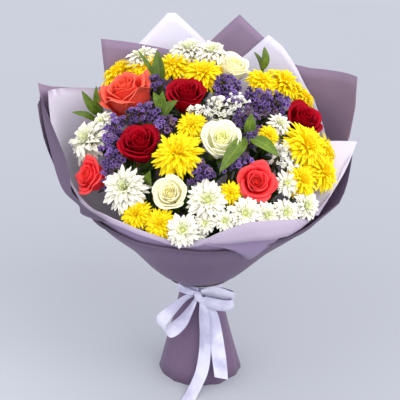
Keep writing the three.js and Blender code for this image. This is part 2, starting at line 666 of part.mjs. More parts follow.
/** One sheet of paper, from its foot to its top edge, turned out along the front edge by its lip. */
function paper({ shell, foot, top, lip }) {
  const corners = top.map(([angle]) => angle);
  const columns = [...corners];
  for (let a = Math.ceil(corners[0] / COLUMN_STEP) * COLUMN_STEP; a < corners.at(-1); a += COLUMN_STEP) {
    if (columns.every((c) => Math.abs(c - a) > 0.4 * COLUMN_STEP)) columns.push(a);
  }
  columns.sort((a, b) => a - b);
  const below = foot === 0 ? [0, WAIST_LOW] : [foot];
  const levels = [...below, ...BOWL_LEVELS];
  const turned = lip > 0 ? 2 : 0;
  const rows = levels.length - 1 + turned;
  const placeOf = (u, v) => {
    const column = u * (columns.length - 1);
    const c = Math.min(Math.floor(column), columns.length - 2);
    const angle = THREE.MathUtils.lerp(columns[c], columns[c + 1], column - c);
    const edge = atLevel(corners, top.map(([, height]) => height), angle);
    const row = v * rows;
    const r = Math.min(Math.floor(row), rows - 1);
    const level = (k) => Math.min(levels[Math.min(k, levels.length - 1)], edge);
    const height = THREE.MathUtils.lerp(level(r), level(r + 1), row - r);
    const inner = THREE.MathUtils.smoothstep(height, WAIST_HIGH, 200);
    const seam = THREE.MathUtils.smoothstep(Math.abs(angle - 270), 62, 84);
    const near = THREE.MathUtils.lerp(FRONT_SHELL, shell, seam);
    const own = shell === OUTER_SHELL ? THREE.MathUtils.lerp(shell, near, inner) : shell;
    const point = bowlPoint(angle, height, own);
    const past = Math.max(0, row - (levels.length - 1));
    const front = 1 - THREE.MathUtils.smoothstep(Math.abs(angle - 270), 48, 86);
    const roll = lip + (lip > WIDE_LIP ? WIDE_LIP : 0) * THREE.MathUtils.smoothstep(angle, 280, 315);
    const out = (roll * front * past) / 2;
    const plan = THREE.MathUtils.degToRad(angle);
    point.x += out * Math.cos(plan);
    point.y += out * Math.sin(plan);
    point.z += roll * front * (0.28 * past - 0.16 * past * past);
    return point;
  };
  const normalOf = (u, v) => {
    const angle = THREE.MathUtils.degToRad(columns[Math.round(u * (columns.length - 1))]);
    const flat = new THREE.Vector3(Math.cos(angle), Math.sin(angle), 0);
    if (foot === 0 && v === 0) return flat;
    const rise = placeOf(u, Math.min(1, v + 0.3 / rows)).sub(placeOf(u, Math.max(0, v - 0.3 / rows)));
    if (rise.length() < 1e-4) rise.set(0, 0, 1);
    const out = new THREE.Vector3(-Math.sin(angle), Math.cos(angle), 0).cross(rise.normalize());
    const turned = v * rows > levels.length - 1;
    return out.dot(flat) < 0 && !turned ? out.negate() : out;
  };
  return sheet(columns.length - 1, rows, PAPER, placeOf, normalOf);
}

function papers() {
  return PAPERS.map((paperOf) => node('paper_' + paperOf.name, solid(paper(paperOf)), paperOf.colour, 0.6));
}

/** The raffia wound round the stems at the binding point. */
function binding() {
  const inner = BUNDLE_RADIUS / Math.cos(Math.PI / 20);
  const outer = inner + BINDING_WALL;
  const [low, high] = [BINDING_HEIGHT - 6, BINDING_HEIGHT + 6];
  const profile = [[inner, low], [outer, low], [outer, high], [inner, high], [inner, low]];
  const ring = new THREE.LatheGeometry(profile.map(([r, z]) => new THREE.Vector2(r, z)), 20).rotateX(Math.PI / 2);
  return node('binding', solid(ring), 'raffia', 0.9);
}

/** A strip of ribbon along a path, its width lying along the given ways. */
function strip(points, ways, steps, width = RIBBON_WIDTH) {
  const path = new THREE.CatmullRomCurve3(points.map((p) => new THREE.Vector3(...p)));
  const turns = new THREE.CatmullRomCurve3(ways.map((p) => new THREE.Vector3(...p)));
  const placeOf = (u, v) => path.getPoint(u)
    .addScaledVector(turns.getPoint(u).normalize(), (v - 0.5) * width);
  return sheet(steps, 1, RIBBON, placeOf);
}

// The loops and tails of the bow: their middle line from the knot, and the way that their width lies.
const KNOT_HEIGHT = 119;
const RIBBON_STRIPS = [
  { width: 19, steps: 7,
    points: [[-7, -40, 120], [-20, -46, 121], [-40, -53, 113], [-53, -58, 98], [-50, -62, 85], [-38, -61, 79],
      [-20, -54, 92], [-7, -43, 112]],
    ways: [[0, 0, 1], [-0.1, -0.35, 0.93], [-0.1, -0.4, 0.9], [0.35, -0.55, 0.75], [0.75, -0.5, 0.45],
      [0.6, -0.6, 0.55], [0.3, -0.5, 0.8], [0, 0, 1]] },
  { width: 17, steps: 6,
    points: [[7, -40, 120], [22, -47, 121], [38, -52, 120], [44, -56, 116], [36, -58, 110], [18, -51, 110],
      [8, -43, 114]],
    ways: [[0, 0, 1], [0, -0.35, 0.93], [0.1, -0.4, 0.9], [0.3, -0.4, 0.85], [0.1, -0.4, 0.9], [0, -0.4, 0.9],
      [0, 0, 1]] },
  { width: 12, steps: 5,
    points: [[-5, -40, 124], [-18, -47, 136], [-31, -50, 142], [-33, -53, 136], [-19, -51, 131], [-6, -43, 123]],
    ways: [[0, -0.3, 1], [0.3, -0.4, 0.9], [0.5, -0.5, 0.7], [0.6, -0.5, 0.6], [0.4, -0.5, 0.8], [0, -0.3, 1]] },
  { width: 12, steps: 5,
    points: [[5, -40, 124], [20, -47, 134], [38, -51, 140], [43, -54, 134], [26, -53, 130], [7, -43, 123]],
    ways: [[0, -0.3, 1], [-0.3, -0.4, 0.9], [-0.4, -0.5, 0.8], [-0.4, -0.5, 0.8], [-0.3, -0.5, 0.8], [0, -0.3, 1]] },
  { width: 19, steps: 7,
    points: [[-3, -43, 112], [0, -47, 98], [3, -53, 74], [1, -61, 42], [-5, -67, 14], [-13, -78, 2.4], [-20, -110, 1]],
    ways: [[0.9, -0.4, 0], [0.85, -0.5, 0], [0.8, -0.55, 0], [0.85, -0.5, 0], [0.95, -0.3, 0.05], [0.97, -0.25, 0],
      [0.95, -0.25, 0]] },
  { width: 20, steps: 6,
    points: [[7, -42, 113], [10, -46, 100], [14, -50, 80], [20, -54, 59], [25, -59, 30], [27, -63, 12]],
    ways: [[1, 0, 0], [0.97, 0.15, 0], [0.96, 0.2, 0], [0.95, 0.25, 0], [0.95, 0.25, -0.1], [0.93, 0.2, -0.3]] },
];

/** The satin ribbon: a band round the waist, a knot at the front, two loops and two tails. */
function ribbon() {
  const papers = WAIST_RADIUS + OUTER_SHELL * SHELL_PITCH_LOW + PAPER / 2;
  const band = (papers + 2.8 * CLEARANCE) / Math.cos(Math.PI / 20);
  const low = WAIST_HIGH - 1 - RIBBON_WIDTH;
  const profile = [
    [band, low], [band + RIBBON, low], [band + RIBBON, low + RIBBON_WIDTH], [band, low + RIBBON_WIDTH], [band, low],
  ];
  const ring = new THREE.LatheGeometry(profile.map(([r, z]) => new THREE.Vector2(r, z)), 20).rotateX(Math.PI / 2);
  const knot = new THREE.SphereGeometry(1, 6, 4).scale(10, 7, 10).translate(0, -band - 6.5, KNOT_HEIGHT);
  const strips = RIBBON_STRIPS.map(({ width, steps, points, ways }) => strip(points, ways, steps, width));
  return node('ribbon', fuse([ring, knot, ...strips].map(solid)), 'satin', 0.35);
}

const stems = listStems();
const bouquet = new THREE.Group();
bouquet.add(
  ...roses(stems), ...chrysanthemums(stems), ...statice(stems), ...leafyStems(stems), ...papers(), binding(), ribbon());

export default bouquet;
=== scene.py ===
"""A hand-tied mixed bouquet, dressed: petals, florets, leaves, two-tone paper, raffia and a satin bow.

Lengths are in millimetres, as in the part's own source, and become metres when a mesh is finished.
+Z is up, +X is the right and -Y is the face of the bouquet.
"""

import logging
import math
import random
from bisect import bisect_left
from collections.abc import Callable, Sequence
from dataclasses import dataclass
from enum import Enum
from itertools import pairwise

import bmesh
import bpy
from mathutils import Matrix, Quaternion, Vector, noise


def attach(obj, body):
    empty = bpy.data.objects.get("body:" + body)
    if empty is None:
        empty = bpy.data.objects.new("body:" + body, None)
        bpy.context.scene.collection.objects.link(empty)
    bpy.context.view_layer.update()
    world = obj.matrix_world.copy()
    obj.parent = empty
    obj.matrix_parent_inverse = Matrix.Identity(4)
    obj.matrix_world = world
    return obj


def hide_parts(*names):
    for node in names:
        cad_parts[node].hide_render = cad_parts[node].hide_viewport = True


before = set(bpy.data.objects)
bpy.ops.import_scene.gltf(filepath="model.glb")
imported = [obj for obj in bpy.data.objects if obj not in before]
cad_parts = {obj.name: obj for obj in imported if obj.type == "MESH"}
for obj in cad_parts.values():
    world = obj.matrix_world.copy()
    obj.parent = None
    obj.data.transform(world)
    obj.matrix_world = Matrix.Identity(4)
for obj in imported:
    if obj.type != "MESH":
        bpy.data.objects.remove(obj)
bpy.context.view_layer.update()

log = logging.getLogger("bouquet")

# Corners closer than the seam are joined, and edges stay sharp above the sharp angle. Plan angles count
# from +X, so the face of the bouquet is at the front angle, in degrees.
MM = 0.001
SEAM = 1e-4
SHARP = math.radians(62)
TURN = 2 * math.pi
GOLDEN_ANGLE = math.pi * (3 - math.sqrt(5))
FRONT = 270
UP = Vector((0, 0, 1))
RIGHT = Vector((1, 0, 0))
DRESSED = "dressed_"

Point = tuple[float, float, float]
Colour = tuple[float, float, float]
Table = Sequence[tuple[float, float | Vector]]
Place = Callable[[float, float], Vector]
Material = bpy.types.Material


def lerp(first: float | Vector, second: float | Vector, share: float) -> float | Vector:
    """A value between two others."""
    return first + (second - first) * share


def smoothstep(value: float, low: float, high: float) -> float:
    """0 below low, 1 above high, and a smooth rise between."""
    share = min(1.0, max(0.0, (value - low) / (high - low)))
    return share * share * (3 - 2 * share)


def at_level(table: Table, level: float) -> float | Vector:
    """Reads a table in straight steps.

    Args:
        table: Pairs of a level and its value, with rising levels.
        level: Where to read it.

    Returns:
        The value there, held beyond the ends.
    """
    for (low, before), (high, after) in pairwise(table):
        if level <= high:
            return lerp(before, after, max(0.0, (level - low) / (high - low)))
    return table[-1][1]


def curved_level(levels: Sequence[float], values: Sequence[float], level: float) -> float:
    """Reads a table along a smooth curve that never overshoots it.

    Args:
        levels: Rising levels of the table.
        values: The value at each level.
        level: Where to read it.

    Returns:
        The value there, held beyond the ends.
    """
    if not levels[0] < level < levels[-1]:
        return values[0] if level <= levels[0] else values[-1]
    slopes = [(after - before) / (high - low)
              for (low, high), (before, after) in zip(pairwise(levels), pairwise(values))]
    bends = [0.0 if a * b <= 0 else 2 * a * b / (a + b) for a, b in pairwise(slopes)]
    tangents = [slopes[0], *bends, slopes[-1]]
    k = bisect_left(levels, level)
    step = levels[k] - levels[k - 1]
    rise = values[k] - values[k - 1]
    start, end = tangents[k - 1] * step, tangents[k] * step
    t = (level - levels[k - 1]) / step
    return values[k - 1] + t * (start + t * (3 * rise - 2 * start - end + t * (start + end - 2 * rise)))


def polar(radius: float, angle: float, height: float = 0.0) -> Vector:
    """The point at a radius and an angle round +Z, and at a height."""
    return Vector((radius * math.cos(angle), radius * math.sin(angle), height))


def spoke(axis: Vector, side: Vector, angle: float) -> Vector:
    """The side of an axis, turned about it by an angle."""
    return side * math.cos(angle) + axis.cross(side) * math.sin(angle)


def standing(axis: Vector, spin: float = 0.0) -> Quaternion:
    """The turn that stands +Z along an axis, after a spin about +Z."""
    return UP.rotation_difference(axis) @ Quaternion(UP, spin)


def in_scene(name: str, data: bpy.types.ID) -> bpy.types.Object:
    """Makes an object and links it to the scene.

    Args:
        name: Its name.
        data: What it holds: a mesh, a light or a camera.

    Returns:
        The object.
    """
    item = bpy.data.objects.new(name, data)
    bpy.context.scene.collection.objects.link(item)
    return item


# Materials


class Signal:
    """A value on its way through a material's nodes, with the usual arithmetic."""

    def __init__(self, shading: "Shading", socket: bpy.types.NodeSocket) -> None:
        """Wraps one output socket of a material's node."""
        self.shading = shading
        self.socket = socket

    def _math(self, operation: str, *values: "Signal | float") -> "Signal":
        """The result of a Math node."""
        return self.shading.node("ShaderNodeMath", {"operation": operation}, dict(enumerate(values)))

    def __add__(self, other: "Signal | float") -> "Signal":
        """This value plus another."""
        return self._math("ADD", self, other)

    def __sub__(self, other: "Signal | float") -> "Signal":
        """This value less another."""
        return self._math("SUBTRACT", self, other)

    def __rsub__(self, other: "Signal | float") -> "Signal":
        """Another value less this one."""
        return self._math("SUBTRACT", other, self)

    def __mul__(self, other: "Signal | float") -> "Signal":
        """This value times another."""
        return self._math("MULTIPLY", self, other)

    __radd__ = __add__
    __rmul__ = __mul__

    def sine(self) -> "Signal":
        """The sine of this value."""
        return self._math("SINE", self)

    def distance(self, other: float) -> "Signal":
        """How far this value is from another."""
        return self._math("ABSOLUTE", self - other)

    def rise(self, low: float, high: float) -> "Signal":
        """0 below low, 1 above high, and a smooth rise between."""
        limits = {"Value": self, "From Min": low, "From Max": high}
        return self.shading.node("ShaderNodeMapRange", {"interpolation_type": "SMOOTHSTEP"}, limits, "Result")


class Shading:
    """One material under construction: a Principled shader and the nodes that feed it."""

    def __init__(self, constants: dict[str, float | tuple]) -> None:
        """Starts a material.

        Args:
            constants: Values for the shader's own sockets.
        """
        self.material = bpy.data.materials.new(DRESSED)
        self.material.use_nodes = True
        self.nodes = self.material.node_tree.nodes
        self.shader = next(node for node in self.nodes if node.type == "BSDF_PRINCIPLED")
        for socket, value in constants.items():
            self.shader.inputs[socket].default_value = value

    def node(self, kind: str, settings: dict, inputs: dict, output: int | str = 0) -> Signal:
        """Adds a node.

        Args:
            kind: The node's type.
            settings: Its properties, set before its sockets.
            inputs: Values or signals by socket name or number.
            output: The name or number of the output that is wanted.

        Returns:
            That output's signal.
        """
        node = self.nodes.new(kind)
        for setting, value in settings.items():
            setattr(node, setting, value)
        for socket, value in inputs.items():
            self.feed(node.inputs[socket], value)
        return Signal(self, node.outputs[output])

    def feed(self, socket: bpy.types.NodeSocket, value: "Signal | float | tuple") -> None:
        """Links a signal to a socket, or sets the socket's value.

        Args:
            socket: The socket.
            value: The signal, or the value. A colour may leave out its alpha.
        """
        if isinstance(value, Signal):
            self.material.node_tree.links.new(value.socket, socket)
        else:
            socket.default_value = (*value, 1.0) if socket.type == "RGBA" else value

    def attribute(self, name: str) -> Signal:
        """A number that the mesh carries."""
        return self.node("ShaderNodeAttribute", {"attribute_name": name}, {}, "Fac")

    def coordinates(self, output: str) -> Signal:
        """The piece's own coordinates, Object or UV."""
        return self.node("ShaderNodeTexCoord", {}, {}, output)

    def split(self, vector: Signal) -> tuple[Signal, Signal]:
        """The first two numbers of a vector."""
        outputs = self.node("ShaderNodeSeparateXYZ", {}, {0: vector}).socket.node.outputs
        return Signal(self, outputs[0]), Signal(self, outputs[1])

    def stretched(self, vector: Signal, scale: Point) -> Signal:
        """Coordinates scaled along each axis."""
        return self.node("ShaderNodeMapping", {}, {"Vector": vector, "Scale": scale})

    def grain(self, vector: Signal, scale: float, detail: float = 3.0, distortion: float = 0.0) -> Signal:
        """Noise about 0.5."""
        inputs = {"Vector": vector, "Scale": scale, "Detail": detail, "Distortion": distortion}
        return self.node("ShaderNodeTexNoise", {}, inputs)

    def mixed(self, share: Signal | float, first: Signal | Colour, second: Signal | Colour,
              blend: str = "MIX") -> Signal:
        """Two colours mixed by the share of the second one, in a way of mixing."""
        settings = {"data_type": "RGBA", "blend_type": blend}
        return self.node("ShaderNodeMix", settings, {0: share, 6: first, 7: second}, 2)

    def bumped(self, height: Signal, strength: float, distance: float) -> None:
        """Gives the surface relief, of a strength and a full depth in metres."""
        relief = {"Strength": strength, "Distance": distance, "Height": height}
        self.feed(self.shader.inputs["Normal"], self.node("ShaderNodeBump", {}, relief))

    def done(self, colour: Signal | Colour, light: Signal, roughness: Signal | float) -> Material:
        """Sets the colour and the roughness.

        Args:
            colour: The colour, which the shader's emission also takes as a painted glow, if it has one.
            light: How light the colour is.
            roughness: The roughness.

        Returns:
            The material.
        """
        shaded = self.mixed(1.0, colour, light, "MULTIPLY")
        # A shader with emission glows in its own colour: a painted glow.
        has_painted_glow = self.shader.inputs["Emission Strength"].default_value > 0
        for socket in ("Base Color", "Emission Color")[:1 + has_painted_glow]:
            self.feed(self.shader.inputs[socket], shaded)
        self.feed(self.shader.inputs["Roughness"], roughness)
        return self.material


@dataclass(frozen=True)
class PetalFinish:
    """A petal's skin: its colours from foot to rim, its fine veins, its velvet and a painted glow."""

    foot: Colour
    body: Colour
    rim: Colour
    heart: Colour
    spread: float = 0.16
    # A painted glow: emission that stands in for light shining through the petal.
    painted_glow: float = 0.0
    vein_depth: float = 0.12
    vein_count: float = 60
    glow: float = 0.2
    gloss: float = 0.25
    roughness: float = 0.62
    velvet: float = 0.0

    def make(self) -> Material:
        """Builds the material.

        Returns:
            The material.
        """
        # The emission strength is the painted glow.
        shading = Shading({"Sheen Weight": self.velvet, "Specular IOR Level": self.gloss,
                           "Subsurface Weight": self.glow, "Subsurface Scale": 0.0015,
                           "Subsurface Radius": (1.0, 1.0, 1.0), "Emission Strength": self.painted_glow})
        across, along = shading.split(shading.coordinates("UV"))
        wander = shading.grain(shading.coordinates("Object"), 260, 2)
        veins = ((across + wander * 0.05) * self.vein_count).sine() * 0.5 + 0.5
        veins = veins * (1 - along.rise(0.7, 1.0))
        colour = shading.mixed(along.rise(0.0, 0.5), self.foot, self.body)
        colour = shading.mixed(along.rise(0.72, 1.0) * 0.7, colour, self.rim)
        colour = shading.mixed(1 - shading.attribute("opening").rise(0.02, 0.55), colour, self.heart)
        light = shading.attribute("tone") * self.spread + (1 - 0.7 * self.spread) + (wander - 0.5) * 0.22
        light = light - veins * self.vein_depth * 0.5
        shading.bumped(veins * 0.6 + wander, 0.35, 0.0004)
        return shading.done(colour, light, self.roughness + (wander - 0.5) * 0.2)


@dataclass(frozen=True)
class LeafFinish:
    """A leaf's skin: waxy green with a paler rib and side veins."""

    blade: Colour
    deep: Colour
    rib: Colour
    roughness: float

    def make(self) -> Material:
        """Builds the material.

        Returns:
            The material.
        """
        shading = Shading({"Specular IOR Level": 0.3})
        across, along = shading.split(shading.coordinates("UV"))
        wander = shading.grain(shading.coordinates("Object"), 120)
        off = across.distance(0.5)
        rib = 1 - off.rise(0.015, 0.05)
        side = ((along * 60) - off * 44 + wander * 1.5).sine().rise(0.72, 1.0) * 0.45
        veins = rib + side * (1 - rib)
        colour = shading.mixed(wander.rise(0.35, 0.7), self.deep, self.blade)
        colour = shading.mixed(veins * 0.55, colour, self.rib)
        light = shading.attribute("tone") * 0.5 + 0.72
        shading.bumped(1 - veins, 0.5, 0.0004)
        return shading.done(colour, light, self.roughness + (wander - 0.5) * 0.25)


@dataclass(frozen=True)
class StemFinish:
    """The skin of stems, cups and twigs: ribbed lengthwise, with darker patches."""

    light: Colour
    dark: Colour

    def make(self) -> Material:
        """Builds the material.

        Returns:
            The material.
        """
        shading = Shading({"Specular IOR Level": 0.35})
        place = shading.coordinates("Object")
        stripes = shading.grain(shading.stretched(place, (1.0, 1.0, 0.12)), 900, 2)
        patches = shading.grain(place, 60)
        colour = shading.mixed(patches.rise(0.35, 0.68), self.dark, self.light)
        light = stripes * 0.4 + 0.55 + shading.attribute("tone") * 0.35
        shading.bumped(stripes, 0.4, 0.0003)
        return shading.done(colour, light, 0.5 + (patches - 0.5) * 0.2)


@dataclass(frozen=True)
class PaperFinish:
    """Matte florist's paper: fine fibres, faint lighter creases, soft cloudy patches, and a darker colour
    that is painted shade.
    """

    tint: Colour
    # The lighter colour along the faint creases.
    crease_colour: Colour
    # The third colour is painted shade. The paper takes it where the mesh's lightness layer falls towards 0.
    dusk: Colour = (0.42, 0.33, 0.49)

    def make(self) -> Material:
        """Builds the material.

        Returns:
            The material.
        """
        shading = Shading({"Specular IOR Level": 0.3, "Sheen Weight": 0.08})
        place = shading.coordinates("Object")
        clouds = shading.grain(place, 9, 3, 0.4)
        fibres = shading.grain(shading.stretched(place, (1.0, 1.0, 0.25)), 1400)
        creases = shading.grain(place, 34, 2, 1.6).distance(0.5).rise(0.0, 0.016)
        colour = shading.mixed((1 - creases) * 0.18, self.tint, self.crease_colour)
        # Painted shade: the paper gives way to its darker colour where the mesh asks for it.
        colour = shading.mixed(shading.attribute("tone"), self.dusk, colour)
        light = 0.86 + clouds * 0.26 + (fibres - 0.5) * 0.1
        shading.bumped(fibres * 0.4 + creases * 0.6, 0.25, 0.0003)
        return shading.done(colour, light, 0.6 + (fibres - 0.5) * 0.2)


@dataclass(frozen=True)
class SatinFinish:
    """Woven satin: a bright sheen, fine threads across, and painted highlights, in long lines along the
    ribbon and in soft patches, over a darker colour that is painted shade.
    """

    tint: Colour
    # The darker colour between the painted highlights is painted shade.
    fold: Colour

    def make(self) -> Material:
        """Builds the material.

        Returns:
            The material.
        """
        shading = Shading({"Sheen Weight": 0.5, "Sheen Roughness": 0.25, "Specular IOR Level": 0.55})
        weave = shading.coordinates("UV")
        place = shading.coordinates("Object")
        across, along = shading.split(weave)
        threads = (along * 900).sine() * 0.5 + 0.5
        # Long lines along the ribbon. They paint highlights into the colour and the lightness, and also vary
        # the roughness.
        sheen_streaks = shading.grain(shading.stretched(weave, (60.0, 1.2, 1.0)), 1.0)
        selvage = across.distance(0.5).rise(0.44, 0.485)
        # Soft patches of painted highlight.
        painted_highlight = shading.grain(place, 38, 2).rise(0.34, 0.66)
        colour = shading.mixed(sheen_streaks.rise(0.3, 0.75) * 0.35 + painted_highlight * 0.65, self.fold, self.tint)
        light = 0.93 + sheen_streaks * 0.12 - selvage * 0.12
        shading.bumped(threads * 0.3 + selvage * 0.7 + shading.grain(place, 500, 2) * 0.2, 0.2, 0.0002)
        return shading.done(colour, light, 0.26 + sheen_streaks * 0.16)


@dataclass(frozen=True)
class GroundFinish:
    """A pale studio ground, with painted light that makes it a little lighter at the front left."""

    tint: Colour

    def make(self) -> Material:
        """Builds the material.

        Returns:
            The material.
        """
        shading = Shading({"Specular IOR Level": 0.1})
        place = shading.coordinates("Object")
        aside, away = shading.split(place)
        # Painted light: the ground is lighter near the bouquet's front left.
        near = (1 - away.rise(-0.05, 0.35)) * (1 - aside.rise(-0.3, 0.3) * 0.65)
        return shading.done(self.tint, 0.97 + shading.grain(place, 1.2, 2) * 0.06 + near * 0.22, 0.9)


class Finish(Enum):
    """Every finish of the bouquet. A petal's colours are those of its foot, body, rim and heart."""

    # A petal's emission value is a painted glow, standing in for light shining through the petal.
    ROSE_CORAL = PetalFinish((0.72, 0.025, 0.025), (0.88, 0.075, 0.045), (0.93, 0.17, 0.1), (0.9, 0.1, 0.04),
                             spread=0.2, painted_glow=0.05)
    ROSE_SCARLET = PetalFinish((0.74, 0.012, 0.025), (0.92, 0.03, 0.04), (0.95, 0.085, 0.085),
                               (0.92, 0.04, 0.03), spread=0.2, painted_glow=0.06)
    ROSE_RED = PetalFinish((0.14, 0.0, 0.003), (0.42, 0.0, 0.01), (0.34, 0.0, 0.012), (0.46, 0.0, 0.01),
                           spread=0.3, glow=0.0, gloss=0.08, roughness=0.6)
    ROSE_WHITE = PetalFinish((0.88, 0.91, 0.55), (0.98, 0.96, 0.7), (0.98, 0.97, 0.78), (0.93, 0.94, 0.45),
                             spread=0.06, painted_glow=0.07, vein_depth=0.06)
    ROSE_CREAM = PetalFinish((0.92, 0.88, 0.52), (0.98, 0.92, 0.62), (0.98, 0.93, 0.7), (0.95, 0.88, 0.45),
                             spread=0.06, painted_glow=0.07, vein_depth=0.06)
    CHRYSANTHEMUM_YELLOW = PetalFinish((0.97, 0.66, 0.0), (0.98, 0.72, 0.0), (0.98, 0.76, 0.0),
                                       (0.98, 0.7, 0.0), painted_glow=0.06, vein_depth=0.08, vein_count=18)
    CHRYSANTHEMUM_WHITE = PetalFinish((0.8, 0.81, 0.53), (0.93, 0.9, 0.76), (0.93, 0.9, 0.82),
                                      (0.8, 0.84, 0.45), vein_depth=0.1, vein_count=18, glow=0.1)
    CHRYSANTHEMUM_DISC = PetalFinish((0.5, 0.58, 0.15), (0.75, 0.79, 0.3), (0.88, 0.88, 0.42),
                                     (0.7, 0.77, 0.26), spread=0.4, vein_count=8, velvet=0.08)
    STATICE_PURPLE = PetalFinish((0.2, 0.16, 0.11), (0.18, 0.085, 0.32), (0.37, 0.25, 0.62),
                                 (0.2, 0.13, 0.12), spread=0.9, vein_count=40, gloss=0.12)
    STATICE_WHITE = PetalFinish((0.6, 0.62, 0.38), (0.96, 0.94, 0.87), (0.97, 0.96, 0.92), (0.9, 0.88, 0.72),
                                spread=0.08, painted_glow=0.04, vein_count=40)
    LEAF = LeafFinish((0.13, 0.205, 0.01), (0.068, 0.122, 0.006), (0.24, 0.31, 0.05), 0.4)
    # A darker copy of the leaf green, for the leaves down among the stems: painted shade.
    LEAF_DARK = LeafFinish((0.045, 0.1, 0.02), (0.02, 0.05, 0.01), (0.1, 0.18, 0.05), 0.5)
    STEM = StemFinish((0.16, 0.27, 0.05), (0.08, 0.15, 0.025))
    TWIG = StemFinish((0.19, 0.22, 0.08), (0.12, 0.1, 0.05))
    RAFFIA = StemFinish((0.58, 0.44, 0.2), (0.38, 0.27, 0.11))
    # PAPER_MAUVE, PAPER_DUSK and PAPER_BLUSH are one mauve paper, and their three lightnesses are painted
    # light and shade. The dark MAUVE is painted shade on the wrap, which faces down. The lighter DUSK and
    # BLUSH are painted light on the upper panels, the peak and the raised fold. The third colours of MAUVE
    # and LILAC are painted shade, for turned-over lips and the left fold.
    PAPER_MAUVE = PaperFinish((0.15, 0.095, 0.17), (0.22, 0.155, 0.25), (0.105, 0.077, 0.125))
    PAPER_DUSK = PaperFinish((0.25, 0.175, 0.27), (0.31, 0.23, 0.33))
    PAPER_BLUSH = PaperFinish((0.32, 0.235, 0.38), (0.4, 0.31, 0.46))
    PAPER_LILAC = PaperFinish((0.7, 0.665, 0.8), (0.77, 0.74, 0.86), (0.37, 0.305, 0.41))
    # The satin's second colour is painted shade.
    SATIN = SatinFinish((0.76, 0.75, 0.87), (0.44, 0.42, 0.6))
    GROUND = GroundFinish((0.373, 0.385, 0.427))

    @property
    def slot(self) -> str:
        """The record's slot that it belongs to, which some finishes share."""
        shared = {"ROSE_SCARLET": "rose_coral", "PAPER_DUSK": "paper_mauve", "PAPER_BLUSH": "paper_mauve"}
        return shared.get(self.name, self.name.lower())

    def material(self) -> Material:
        """Finds its material, which is made and named on first use.

        Returns:
            The material.
        """
        name = DRESSED + self.name.lower()
        if name not in bpy.data.materials:
            self.value.make().name = name
        return bpy.data.materials[name]


# Mesh making


class Route:
    """A smooth line through its stations, with a frame along it that doesn't twist."""

    def __init__(self, stations: Sequence[Sequence[float]], steps: int = 4) -> None:
        """Lays the line.

        Args:
            stations: The points that it passes.
            steps: Points to each stretch between two stations.
        """
        self.points = self._curve([Vector(s) for s in stations], steps)
        last = len(self.points) - 1
        self.tangents = [(self.points[min(i + 1, last)] - self.points[max(i - 1, 0)]).normalized()
                         for i in range(last + 1)]
        self.sides = [self.tangents[0].orthogonal().normalized()]
        for before, after in pairwise(self.tangents):
            self.sides.append(before.rotation_difference(after) @ self.sides[-1])

    @staticmethod
    def _curve(stations: list[Vector], steps: int) -> list[Vector]:
        """The points of a Catmull-Rom curve.

        Args:
            stations: The points that it passes.
            steps: Points to each stretch between two stations.

        Returns:
            Its points.
        """
        ends = [2 * stations[0] - stations[1], *stations, 2 * stations[-1] - stations[-2]]
        points = []
        for i in range(1, len(stations)):
            a, b, c, d = ends[i - 1:i + 3]
            for k in range(steps):
                t = k / steps
                points.append(0.5 * (2 * b + t * (c - a) + t * t * (2 * a - 5 * b + 4 * c - d)
                                     + t ** 3 * (3 * b - a - 3 * c + d)))
        return [*points, stations[-1].copy()]

    @property
    def length(self) -> float:
        """How long the line is."""
        return sum((b - a).length for a, b in pairwise(self.points))

    def at(self, share: float) -> tuple[Vector, Vector, Vector]:
        """Reads the line and its frame.

        Args:
            share: The share of the way, below 1.

        Returns:
            The point, the tangent and the side there.
        """
        i, t = divmod(share * (len(self.points) - 1), 1)
        point, tangent, side = (row[int(i)].lerp(row[int(i) + 1], t)
                                for row in (self.points, self.tangents, self.sides))
        return point, tangent, side.normalized()


